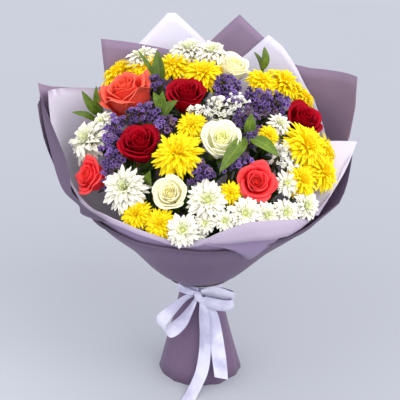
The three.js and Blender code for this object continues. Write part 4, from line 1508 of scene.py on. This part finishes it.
@dataclass(frozen=True)
class Bowl:
    """The flared form that the papers follow, each on its own shell round the last one.

    The last four tables say how far it flares at each level.
    """

    waist_radius: float = 22.5
    waist_low: float = 109
    waist_high: float = 128
    skirt_radius: float = 50
    pitch_low: float = 1.3
    pitch_rise: float = 0.009
    plan_power: float = 2.3
    square_from: float = 236
    steep_step: float = 4
    steepest: float = 0.35
    ripples_below: tuple[float, float] = (20, 103)
    ripples_above: tuple[float, float] = (132, 190)
    levels: tuple[float, ...] = (128, 136, 143, 156, 196, 238, 290, 350, 410, 470)
    front: tuple[float, ...] = (0, 1.5, 14, 37, 77, 116, 124, 128, 131, 133)
    back: tuple[float, ...] = (0, 1.5, 7, 17, 33, 49, 63, 74, 82, 87)
    left: tuple[float, ...] = (0, 1.5, 12, 32, 69, 110, 146, 162, 169, 172)
    right: tuple[float, ...] = (0, 1.5, 12, 32, 69, 109, 143, 161, 167, 170)

    def radius(self, plan: float, height: float) -> float:
        """The innermost paper's radius.

        Args:
            plan: The plan angle in radians.
            height: The height.

        Returns:
            The radius.
        """
        if height < self.waist_high:
            return lerp(self.skirt_radius, self.waist_radius, min(1.0, height / self.waist_low))
        c, s = math.cos(plan), math.sin(plan)
        side = self.waist_radius + curved_level(self.levels, self.left if c < 0 else self.right, height)
        face = self.waist_radius + curved_level(self.levels, self.front if s < 0 else self.back, height)
        power = lerp(2, self.plan_power, smoothstep(height, self.waist_high, self.square_from))
        return (abs(c / side) ** power + abs(s / face) ** power) ** (-1 / power)

    def ripple(self, plan: float, height: float) -> float:
        """How far every paper stands out by its soft folds: none at the waist.

        Args:
            plan: The plan angle in radians.
            height: The height.

        Returns:
            How far it stands out.
        """
        above = smoothstep(height, *self.ripples_above)
        below = 1 - smoothstep(height, *self.ripples_below)
        soft, pleats, skirt = (noise.noise(polar(reach, plan, pace * height + start))
                               for reach, pace, start in ((2.1, 0.008, 0), (7, 0.002, 5), (3.4, 0.006, 9)))
        return above * (2.2 * soft + 1.3 * pleats) + below * 3.2 * skirt

    def point(self, plan: float, height: float, shell: float) -> Vector:
        """A point on one of the nested shells.

        Args:
            plan: The plan angle in radians.
            height: The height.
            shell: Which shell, counted outwards from 0.

        Returns:
            The point.
        """
        reach = self.radius(plan, height)
        run = self.radius(plan, height + self.steep_step) - reach
        steep = max(self.steepest, self.steep_step / math.hypot(self.steep_step, run))
        pitch = self.pitch_low + self.pitch_rise * max(0.0, height - self.waist_high)
        return polar(reach + shell * pitch / steep + self.ripple(plan, height), plan, height)


BOWL = Bowl()


@dataclass(frozen=True)
class Paper:
    """A sheet of paper on the bowl: its shell, its foot, and its top edge as plan angle and height.

    Its bottom edge, its flare and its lip go by the plan angle too. The lip and the front shell fade out
    between two angles from the front. A fold is a corner that has no solid.
    """

    name: str
    inside: Finish
    outside: Finish
    shell: float
    top: Table
    foot: float = 111
    bottom: Table = ()
    flare: Table = ((0, 0),)
    lip: Table = ()
    front_shell: float | None = None
    fold: bool = False
    rows: int = 30
    lip_rows: int = 7
    column_step: float = 3
    skirt_share: float = 0.22
    closing: float = 1.15
    shell_ends: tuple[float, float] = (62, 84)
    shell_high: float = 200
    lip_ends: tuple[float, float] = (48, 86)
    thickness: float = 0.5

    def _columns(self) -> list[float]:
        """Sets out the sheet's columns.

        Returns:
            Their plan angles: the sheet's corners, and even steps between them.
        """
        corners = sorted({angle for angle, _ in (*self.top, *self.bottom)})
        columns = [corners[0]]
        for a, b in pairwise(corners):
            count = max(1, round((b - a) / self.column_step))
            columns.extend(a + (b - a) * (i + 1) / count for i in range(count))
        return columns

    def _height(self, share: float, angle: float) -> float:
        """The height at a share of the way from the foot to the edge, with close rows at the waist.

        Args:
            share: The share of the way.
            angle: The plan angle in degrees.

        Returns:
            The height.
        """
        edge = at_level(self.top, angle)
        if self.bottom:
            return lerp(at_level(self.bottom, angle), edge, share)
        if self.foot > 0:
            return lerp(self.foot, edge, share ** self.closing)
        if share < self.skirt_share:
            return BOWL.waist_low * share / self.skirt_share
        above = (share - self.skirt_share) / (1 - self.skirt_share)
        return lerp(BOWL.waist_low, edge, above ** self.closing)

    def _point(self, angle: float, row: float) -> Vector:
        """The point on the sheet.

        Args:
            angle: The plan angle in degrees.
            row: The row, counted up from the foot and on over the lip.

        Returns:
            The point.
        """
        aside = abs(angle - FRONT)
        share = min(1.0, row / self.rows)
        height = self._height(share, angle)
        shell = self.shell
        if self.front_shell is not None:
            near = lerp(self.front_shell, self.shell, smoothstep(aside, *self.shell_ends))
            shell = lerp(self.shell, near, smoothstep(height, BOWL.waist_high, self.shell_high))
        plan = math.radians(angle)
        past = 2 * max(0.0, row - self.rows) / self.lip_rows
        roll = (at_level(self.lip, angle) if self.lip else 0.0) * (1 - smoothstep(aside, *self.lip_ends))
        out = roll * past / 2 + at_level(self.flare, angle) * smoothstep(share, 0.5, 1)
        lift = roll * (0.35 * past - 0.42 * past * past)
        point = BOWL.point(plan, height, shell) + polar(out, plan, lift)
        if self.foot == 0:
            point.z = max(point.z, 0.0)
        return point

    def _painted_shade(self, v: float) -> float:
        """How much of the paper's own colour shows, giving way to painted shade over its lip, at a share of
        the way over its rows and its lip.
        """
        rim = self.rows / (self.rows + self.lip_rows)
        return 1 - 0.8 * smoothstep(v, rim - 0.01, rim + 0.05) - 0.2 * smoothstep(v, rim, 1.0)

    def build(self) -> None:
        """Builds the sheet with its two faces."""
        columns = self._columns()
        last = len(columns) - 1
        rows = self.rows + (self.lip_rows if self.lip else 0)
        grower = Grower(self.outside, self.inside)
        # Over its lip the paper is darkened with painted shade.
        grower.grid(last, rows, lambda u, v: self._point(columns[round(u * last)], v * rows),
                    tone=(lambda u, v: self._painted_shade(v)) if self.lip else 1.0)
        nodes = [] if self.fold else ["paper_" + self.name]
        piece = grower.finish("sheet_" + self.name, nodes, self.inside.slot)
        outwards = sum(face.normal.xy.dot(face.center.xy) for face in piece.data.polygons)
        if outwards < 0:
            piece.data.flip_normals()
        shell = piece.modifiers.new("thickness", "SOLIDIFY")
        shell.thickness = self.thickness * MM
        shell.offset = 0
        shell.material_offset = 1
        shell.material_offset_rim = 1


@dataclass(frozen=True)
class Wing:
    """A corner of paper that stands clear of the bowl: ruled between two smooth edges."""

    name: str
    finish: Finish
    first: tuple[Point, ...]
    second: tuple[Point, ...]
    # The share of the paper's own colour; below 1, the rest is painted shade.
    tone: float = 1.0
    bulge: float = 2.0
    thickness: float = 0.5

    def build(self) -> None:
        """Builds the corner."""
        grower = Grower(self.finish)
        first, second = (Route(edge, 6).points for edge in (self.first, self.second))
        steps = len(first) - 1

        def place(u: float, v: float) -> Vector:
            """The point on the corner, u from its first edge to its second one and v along them."""
            i = round(v * steps)
            return first[i].lerp(second[i], u) + Vector((0, self.bulge * math.sin(math.pi * u), 0))

        grower.grid(10, steps, place, None, self.tone)
        grower.thicken(self.thickness)
        grower.finish("sheet_" + self.name, [], self.finish.slot)


# Binding and ribbon


@dataclass(frozen=True)
class Binding:
    """Raffia wound round the stems inside the paper."""

    height: float = 119
    half: float = 6
    radius: float = 20.9
    strands: int = 9
    strand: float = 0.62

    def _strand(self, level: float, tilt: float, phase: float) -> Place:
        """The surface of one strand.

        Args:
            level: Its height.
            tilt: How much it slants.
            phase: Where it starts to wind.

        Returns:
            The place of u round its section and v round the stems.
        """

        def place(u: float, v: float) -> Vector:
            """Places the strand.

            Args:
                u: How far round its section.
                v: How far round the stems.

            Returns:
                The point.
            """
            angle, section = TURN * v, TURN * u
            reach = self.radius + self.strand * (0.8 * math.cos(section) + 0.15 * math.sin(7 * angle + phase))
            slant = tilt * self.radius * math.sin(angle + phase)
            return polar(reach, angle, level + 1.15 * self.strand * math.sin(section) + slant)

        return place

    def build(self) -> None:
        """Builds the strands as one piece."""
        draw = random.Random("binding")
        grower = Grower(Finish.RAFFIA)
        for i in range(self.strands):
            level = self.height + self.half * (2 * (i + 0.5) / self.strands - 1) * 0.86
            strand = self._strand(level, draw.uniform(-0.03, 0.03), draw.uniform(0, TURN))
            grower.grid(6, 60, strand, None, draw.random())
        grower.finish("raffia_binding", ["binding"], Finish.RAFFIA.slot)


@dataclass(frozen=True)
class Strip:
    """A length of ribbon: its width, its middle line, the ways its width lies, and how its ends are gathered.

    A strip that hangs is gathered only at its start.
    """

    width: float
    points: tuple[Point, ...]
    ways: tuple[Point, ...]
    crown: float
    pinch: float
    reach: float
    hangs: bool = False

    def grow(self, grower: Grower) -> float:
        """Lays the strip.

        Args:
            grower: The mesh that it joins.

        Returns:
            Its length.
        """
        line = Route(self.points, 8)
        steps = len(line.points) - 1
        ways = [(i / max(1, len(self.ways) - 1), Vector(way)) for i, way in enumerate(self.ways)]
        phase = grower.draw.uniform(0, 6)

        def place(u: float, v: float) -> Vector:
            """Places the strip.

            Args:
                u: How far across it.
                v: How far along it.

            Returns:
                The point.
            """
            i = round(v * steps)
            k = 2 * u - 1
            way = at_level(ways, v).normalized()
            face = line.tangents[i].cross(way).normalized()
            near = 1 - self.pinch * (1 - smoothstep(v if self.hangs else min(v, 1 - v), 0.0, self.reach))
            crown = self.crown * (1 - k * k) + 0.5 * math.sin(7 * k + phase) * (1 - near)
            ripple = 0.35 * math.sin(5 * v * math.pi + phase) * k
            return line.points[i] + way * (k * self.width / 2 * near) + face * (crown + ripple)

        grower.grid(8, steps, place, None, grower.draw.random())
        return line.length


@dataclass(frozen=True)
class Ribbon:
    """The satin ribbon: a band round the waist, a knot at the front, loops and two tails."""

    width: float = 20
    thickness: float = 0.3
    waist_shell: float = 5.2
    band_high: float = 139.5
    band_pinch: float = 0.1
    band_gap: float = 0.4
    knot: Point = (-1.2, -38.5, 122.5)
    knot_size: Point = (5.2, 5.8, 8.2)
    knot_radius: float = 7
    knot_lean: float = 2.6
    strips: tuple[Strip, ...] = (
        Strip(19, ((-6.5, -36, 126), (-18.8, -40, 121.8), (-31.8, -45, 111.8), (-43.5, -49, 101.5),
                   (-49.7, -51, 95.3), (-51, -52, 88.8), (-48.7, -52, 81.2), (-43.5, -51.6, 77.5),
                   (-34.4, -50, 81.1), (-22.7, -46, 90.7), (-14.3, -42, 102.4), (-7.6, -38.5, 113.5),
                   (-4.5, -36.5, 121)), ((-0.607, 0.622, 0.4975),), 1.0, 0.72, 0.34),
        Strip(19, ((0, -40, 118.5), (10.5, -46, 117.6), (24, -50, 116), (37, -50, 115), (42, -46, 115),
                   (38, -42, 115.5), (26, -40, 117), (6.5, -37, 119)), ((0, -0.25, 1),), 2.2, 0.35, 0.16),
        Strip(12, ((-2.6, -39, 127.5), (-13, -43, 131), (-23.4, -45, 136.5), (-29.4, -44, 141),
                   (-24.5, -41, 143), (-13, -38, 138.5), (-2.6, -36, 131)),
              ((0.25, -0.4, 0.9),), 0.8, 0.5, 0.25),
        Strip(18, ((1, -37, 128), (13.5, -41.5, 132), (27, -45, 130.5), (39.5, -45, 126), (43.5, -42, 124.5),
                   (38, -39.5, 126), (24, -38, 129), (6.5, -36, 128)),
              ((0.1, -0.3, 0.95), (0.2, -0.3, 0.95)), 1.6, 0.4, 0.2),
        Strip(17.5, ((2.5, -40, 119), (5.5, -45, 100), (6.5, -50, 74), (6, -57, 48), (2.2, -64, 26),
                     (-6, -72, 8.5), (-13, -86, 1.6), (-20, -110, 0.7)),
              ((0.9, -0.4, 0), (0.85, -0.5, 0), (0.8, -0.55, 0), (0.85, -0.5, 0), (0.92, -0.35, 0.05),
               (0.97, -0.25, 0.05), (0.97, -0.25, 0), (0.95, -0.25, 0)), 0.6, 0.55, 0.2, True),
        Strip(19, ((5.5, -40, 116), (14, -44.5, 100), (20, -50, 75), (24.2, -56, 49), (27, -60.5, 27),
                   (28, -63, 15.6)),
              ((0.97, 0.1, 0.1), (0.97, 0.15, 0), (0.96, 0.2, 0), (0.95, 0.25, 0), (0.95, 0.25, -0.1),
               (0.93, 0.2, -0.3)), 0.8, 0.5, 0.2, True),
    )

    def _band(self, grower: Grower) -> float:
        """Lays the band round the waist.

        Args:
            grower: The mesh that it joins.

        Returns:
            Its length.
        """

        def place(u: float, v: float) -> Vector:
            """Places the band.

            Args:
                u: How far up it.
                v: How far round it.

            Returns:
                The point.
            """
            angle = TURN * v
            front = 1 - smoothstep(abs(angle - math.radians(FRONT)), 0.3, 0.9)
            height = self.band_high - self.width * (1 - u) * (1 - self.band_pinch * front)
            crease = 0.4 * math.sin(11 * u + 2 * math.sin(3 * angle)) + 0.3 * math.sin(9 * angle + 5 * u)
            return BOWL.point(angle, height, self.waist_shell) + polar(crease + self.band_gap, angle)

        grower.grid(10, 90, place)
        return TURN * (BOWL.waist_radius + self.waist_shell * BOWL.pitch_low)

    def _knot(self, grower: Grower) -> float:
        """Lays the turn of ribbon that makes the knot.

        Args:
            grower: The mesh that it joins.

        Returns:
            Its length.
        """
        wide, deep, high = self.knot_size

        def place(u: float, v: float) -> Vector:
            """Places the knot.

            Args:
                u: How far across it.
                v: How far round it.

            Returns:
                The point.
            """
            k = 2 * u - 1
            c, s = math.cos(TURN * v), math.sin(TURN * v)
            swell = 1 - 0.24 * abs(k) ** 2.2 + 0.06 * math.sin(9 * k + 2)
            aside = wide * k * (1 - 0.16 * s * s) - self.knot_lean * s
            return Vector(self.knot) + Vector((aside, deep * swell * c, high * swell * s))

        grower.grid(10, 28, place)
        return TURN * self.knot_radius

    def build(self) -> None:
        grower = Grower(Finish.SATIN, draw=random.Random("ribbon"))
        area = self.width * (self._band(grower) + self._knot(grower))
        for strip in self.strips:
            area += strip.width * strip.grow(grower)
        grower.thicken(self.thickness)
        piece = grower.finish("satin_ribbon", ["ribbon"], Finish.SATIN.slot)
        flat = (self.width * MM, area / self.width * MM)
        log.info("ribbon cut %.0f mm wide and %.0f mm long", flat[0] / MM, flat[1] / MM)


# Studio


@dataclass(frozen=True)
class Light:
    """A broad, even light: the way it comes from, its strength, the degrees that it fills and its colour."""

    name: str
    source: Point
    strength: float
    spread: float
    colour: Colour = (1.0, 1.0, 1.0)

    def build(self) -> None:
        """Hangs the light."""
        data = bpy.data.lights.new(self.name, "SUN")
        data.energy = self.strength
        data.angle = math.radians(self.spread)
        data.color = self.colour
        in_scene(self.name, data).rotation_euler = Vector(self.source).to_track_quat("Z", "Y").to_euler()


@dataclass(frozen=True)
class Studio:
    """A pale ground, soft light and the camera at the photograph's angle. Metres here."""

    ground_radius: float = 14.0
    lens: float = 85.0
    target: Point = (0.0, 0.0, 0.243)
    distance: float = 1.228
    elevation: float = math.radians(20)
    sky: tuple[float, float, float, float] = (0.93, 0.95, 1.0, 1.0)
    sky_strength: float = 1.05
    lights: tuple[Light, ...] = (
        Light("key", (0.85, -0.7, 0.85), 1.9, 70, (1.0, 0.99, 0.97)),
        Light("fill", (-0.8, -0.7, 0.6), 0.9, 90),
        Light("back", (0.1, 0.9, 0.8), 0.5, 90),
    )

    def build(self) -> None:
        """Builds the ground, the lights and the camera."""
        self._ground()
        for light in self.lights:
            light.build()
        self._sky()
        self._camera()

    def _ground(self) -> None:
        """Lays the ground."""
        mesh = bmesh.new()
        bmesh.ops.create_circle(mesh, cap_ends=True, segments=96, radius=self.ground_radius)
        data = bpy.data.meshes.new("ground")
        mesh.to_mesh(data)
        mesh.free()
        data.materials.append(Finish.GROUND.material())
        in_scene("ground", data)

    def _sky(self) -> None:
        """Sets the even light all round, and plain colour management."""
        scene = bpy.context.scene
        scene.world = scene.world or bpy.data.worlds.new("studio")
        scene.world.use_nodes = True
        background = next(n for n in scene.world.node_tree.nodes if n.type == "BACKGROUND")
        background.inputs["Color"].default_value = self.sky
        background.inputs["Strength"].default_value = self.sky_strength
        scene.view_settings.view_transform = "Standard"

    def _camera(self) -> None:
        """Sets up the camera."""
        data = bpy.data.cameras.new("camera")
        data.lens = self.lens
        data.clip_end = 100
        camera = in_scene("camera", data)
        back = Vector((0, -math.cos(self.elevation), math.sin(self.elevation)))
        camera.location = Vector(self.target) + back * self.distance
        camera.rotation_euler = back.to_track_quat("Z", "Y").to_euler()
        bpy.context.scene.camera = camera


# What the bouquet holds

ROSES = (
    Rose("coral_upper_left", RoseHue.CORAL, (-95, 14, 386), 36, (-0.1, 0.1, 0.3)),
    Rose("coral_left_edge", RoseHue.SCARLET, (-136, -61, 297), 24, (-0.4, 0, 0)),
    Rose("coral_lower_right", RoseHue.SCARLET, (67, -96, 301), 24, (-0.1, 0, -0.2)),
    Rose("red_top", RoseHue.RED, (-17, -9, 388), 26.5, (0, 0, 0.3)),
    Rose("red_left", RoseHue.RED, (-74, -54, 338), 28, (0.1, 0, 0.3)),
    Rose("red_right_edge", RoseHue.RED, (131, 0, 353), 26.5, (-0.2, 0, 0)),
    Rose("white_centre", RoseHue.WHITE, (26, -64, 344), 27),
    Rose("cream_lower", RoseHue.CREAM, (-36, -109, 291), 22.5),
    Rose("cream_top", RoseHue.CREAM, (43, 42, 411), 23.5, (0.1, 0, 0)),
)

YELLOW = (Finish.CHRYSANTHEMUM_YELLOW, MumForm.DOUBLE)
WHITE = (Finish.CHRYSANTHEMUM_WHITE, MumForm.SHAGGY)
DAISY = (Finish.CHRYSANTHEMUM_WHITE, MumForm.DAISY)
SPRAYS = (
    Spray("yellow_centre", *YELLOW, ((-26, -80, 331, 27), (-10, -46, 356, 17))),
    Spray("yellow_top", *YELLOW,
          ((-104, 66, 395, 23), (-67, 51, 406, 20), (-33, 44, 410, 20), (4, 26, 404, 21)), fullness=1.4),
    Spray("yellow_top_right", *YELLOW, ((78, 27, 394, 16.5), (108, 43, 388, 22), (135, 42, 369, 15)),
          fullness=1.35),
    Spray("yellow_right_edge", *YELLOW,
          ((130, -43, 329, 24), (156, -11, 312, 20), (150, -54, 299, 19), (122, -78, 296, 17)),
          fullness=1.38),
    Spray("yellow_right_middle", *YELLOW, ((83, -47, 344, 13),)),
    Spray("yellow_lower_left", *YELLOW, ((-75, -113, 266, 17), (-47, -126, 259, 17))),
    Spray("yellow_lower", *YELLOW, ((36, -107, 291, 13),)),
    Spray("white_left_edge", *WHITE, ((-139, -22, 330, 27), (-121, -14, 352, 14))),
    Spray("white_middle", *WHITE, ((-89, -95, 292, 25),)),
    Spray("white_lower_left", *DAISY, ((-20, -137, 256, 18), (-6, -131, 247, 12), (5.7, -130, 262, 12))),
    Spray("white_lower_middle", *DAISY, ((9, -114.3, 285, 22), (29, -129, 264, 13), (53, -124, 272, 18))),
    Spray("white_lower_right", *DAISY,
          ((79, -117, 267, 16), (102, -109, 267, 17.5), (128, -94, 270, 18), (103, -90, 297, 16)),
          fullness=1.1),
    Spray("white_top", *WHITE, ((-14, 63, 426, 20), (14, 55, 425, 18)), fullness=1.35),
    Spray("white_top_left", *WHITE, ((-76, 66, 417, 18),), (0, -9, 0), fullness=1.3),
    Spray("white_right", *WHITE, ((98, -27, 352, 14),), (0, -14, 0)),
)

PURPLE = Finish.STATICE_PURPLE
PALE = Finish.STATICE_WHITE
STATICE = (
    Statice("purple_left", PURPLE, ((-110, -44, 336, 12, 8), (-112, -74, 304, 13, 8)), (8, -16, -8),
            ((-104, -62, 322, 8, 5),)),
    Statice("purple_upper_left", PURPLE, ((-84, -20, 366, 13, 8), (-62, -24, 368, 6, 4)),
            more=((-106, -28, 352, 6, 4),)),
    Statice("purple_top_left", PURPLE, ((-60, 16, 394, 9, 6),)),
    Statice("purple_inner_left", PURPLE, ((-44, -42, 358, 8, 5),)),
    Statice("purple_top", PURPLE, ((33, 7, 398, 12, 8),)),
    Statice("purple_right", PURPLE, ((74, -6, 381, 19, 10), (102, 4, 372, 12, 6))),
    Statice("purple_middle", PURPLE, ((57, -33, 362, 12, 8),),
            more=((64, -54, 344, 9, 6), (40, -16, 382, 7, 4))),
    Statice("purple_lower", PURPLE, ((3, -93.5, 308.5, 9.5, 6),), (0, 0.6, 0)),
    Statice("purple_low_right", PURPLE, ((50, -82, 320, 7, 5),), more=((34, -84, 322, 7, 5),)),
    Statice("white_centre", PALE, ((22, -27, 376, 14, 8),), more=((-6, -30, 374, 7, 5), (46, -22, 379, 8, 5)),
            cup_radius=2.6),
    Statice("white_right", PALE, ((100, -60, 326, 10, 6), (109, -73, 309, 7, 4)), cup_radius=2.6),
)

SPRIGS = (
    Sprig("upper_left", (((-128, 14, 352), (-148, 4, 386), 6), ((-124, 18, 356), (-132, 12, 390), 6),
                         ((-130, 8, 346), (-160, 0, 362), 5), ((-126, 20, 352), (-128, 40, 386), 5))),
    Sprig("top_left", (((-50, 22, 392), (-54, 26, 434), 8), ((-53, 24, 392), (-78, 36, 432), 3))),
    Sprig("inner_left", (((-46, -22, 362), (-46, -30, 394), 7), ((-44, -18, 360), (-58, -4, 388), 6),
                         ((-46, -30, 362), (-29, -40, 386), 8))),
    Sprig("middle", (((56, -58, 344), (24, -104, 318), 9.5), ((60, -58, 344), (93, -84, 331), 9),
                     ((58, -54, 346), (62, -58, 374), 7))),
    Sprig("lower_left", (((-60, -86, 292), (-60, -104, 316), 6),), (6, 0, 4)),
    Sprig("top_right", (((82, 56, 402), (84, 58, 432), 6), ((82, 58, 398), (72, 70, 424), 5))),
)

LILAC = Finish.PAPER_LILAC
MAUVE = Finish.PAPER_MAUVE
DUSK = Finish.PAPER_DUSK
BLUSH = Finish.PAPER_BLUSH
PAPERS = (
    Paper("lining_front", LILAC, BLUSH, 0,
          ((140, 368), (150, 373), (165, 381), (180, 388), (186, 352), (193, 312), (199, 284), (205, 271),
           (215, 265), (225, 264), (235, 259), (245, 251), (252, 246), (260, 238), (266, 242), (274, 248),
           (278, 254), (283, 259), (288, 263), (292, 265.5), (301, 264.5), (307, 262.5), (312, 260),
           (319, 257), (328, 255), (336, 260), (345, 273), (352, 294), (360, 326)),
          lip=((215, 5), (235, 4.5), (250, 4.5), (260, 3.8), (266, 5.4), (274, 5.8), (278, 9.8),
               (283, 13.3), (288, 15.6), (292, 17), (301, 17.5), (307, 15.5), (312, 11.2), (319, 6.5),
               (328, 3.2), (340, 5)),
          flare=((300, 0), (320, 8), (335, 12), (352, 13), (360, 22))),
    Paper("lining_right", LILAC, LILAC, 1,
          ((-6, 296), (4, 302), (14, 313), (18, 329), (21, 343), (24, 359), (29, 378), (33, 396), (37, 412),
           (41, 426), (48, 440), (58, 416), (80, 372))),
    Paper("panel_upper_left", DUSK, DUSK, 1, ((107, 417), (146, 437))),
    Paper("peak_mauve", DUSK, DUSK, 2, ((42, 418), (52, 437), (65, 465), (88, 419))),
    Paper("peak_lilac", LILAC, LILAC, 1.2, ((80, 418), (106, 467), (111, 467), (128, 429), (138, 407))),
    Paper("wrap_back", DUSK, MAUVE, 3,
          ((0, 330), (6, 401), (30, 399), (60, 412), (90, 402), (120, 400), (150, 370), (168, 384),
           (180, 398)), foot=0),
    Paper("wrap_front", MAUVE, MAUVE, 4,
          ((176, 376), (182, 372), (187, 335), (195, 290), (202, 262), (208, 252), (212, 247), (222, 245),
           (240, 236), (270, 229), (300, 232), (330, 238), (345, 256), (352, 278), (360, 302), (363, 306)),
          foot=0, lip=((FRONT, 3),), front_shell=1.3,
          flare=((300, 0), (315, 6), (330, 14), (345, 24), (352, 17), (360, 11), (364, 10))),
    Paper("front_fold", BLUSH, BLUSH, 3.4,
          ((271, 242.5), (277, 245), (284, 249), (290, 251), (301, 248), (305, 243), (308.4, 236.4)),
          bottom=((271, 242), (276.2, 239.6), (280, 237.3), (283.4, 233.9), (286.5, 229.9), (290, 222.9),
                  (294.8, 212.2), (300, 203), (302.4, 200), (302.9, 219), (305.2, 229), (308.4, 235.6)),
          rows=8, fold=True),
)

WINGS = (
    Wing("right_wing", LILAC,
         ((156, 2, 322), (148, -14, 297), (131, -42, 271), (108, -66, 246)),
         ((199, -6, 324), (184, -24, 294), (166, -48, 273), (146, -64, 246))),
    # The left fold is darkened with painted shade, as it faces away from the light.
    Wing("left_fold", MAUVE,
         ((-198, -16, 384), (-192, -28, 352), (-184, -42, 324), (-175, -57, 296),
          (-164, -73, 279), (-145, -93, 270), (-141, -99, 261), (-116, -124, 261)),
         ((-196, -18, 384), (-179, -36, 348), (-164, -54, 317), (-158, -68, 300),
          (-154, -82, 283), (-141, -103, 277), (-127, -115, 270), (-107, -130, 264)), tone=0.15),
)


def main() -> None:
    """Builds the studio and the bouquet."""
    logging.basicConfig(level=logging.INFO, format="%(message)s")
    for part in (Studio(), *PAPERS, *WINGS, Binding(), Ribbon(), *ROSES, *SPRAYS):
        part.build()
    guard = BloomGuard(ROSES, SPRAYS)
    for statice in STATICE:
        statice.build(guard)
    for sprig in SPRIGS:
        sprig.build()
    bpy.context.view_layer.update()


if __name__ == "__main__":
    main()
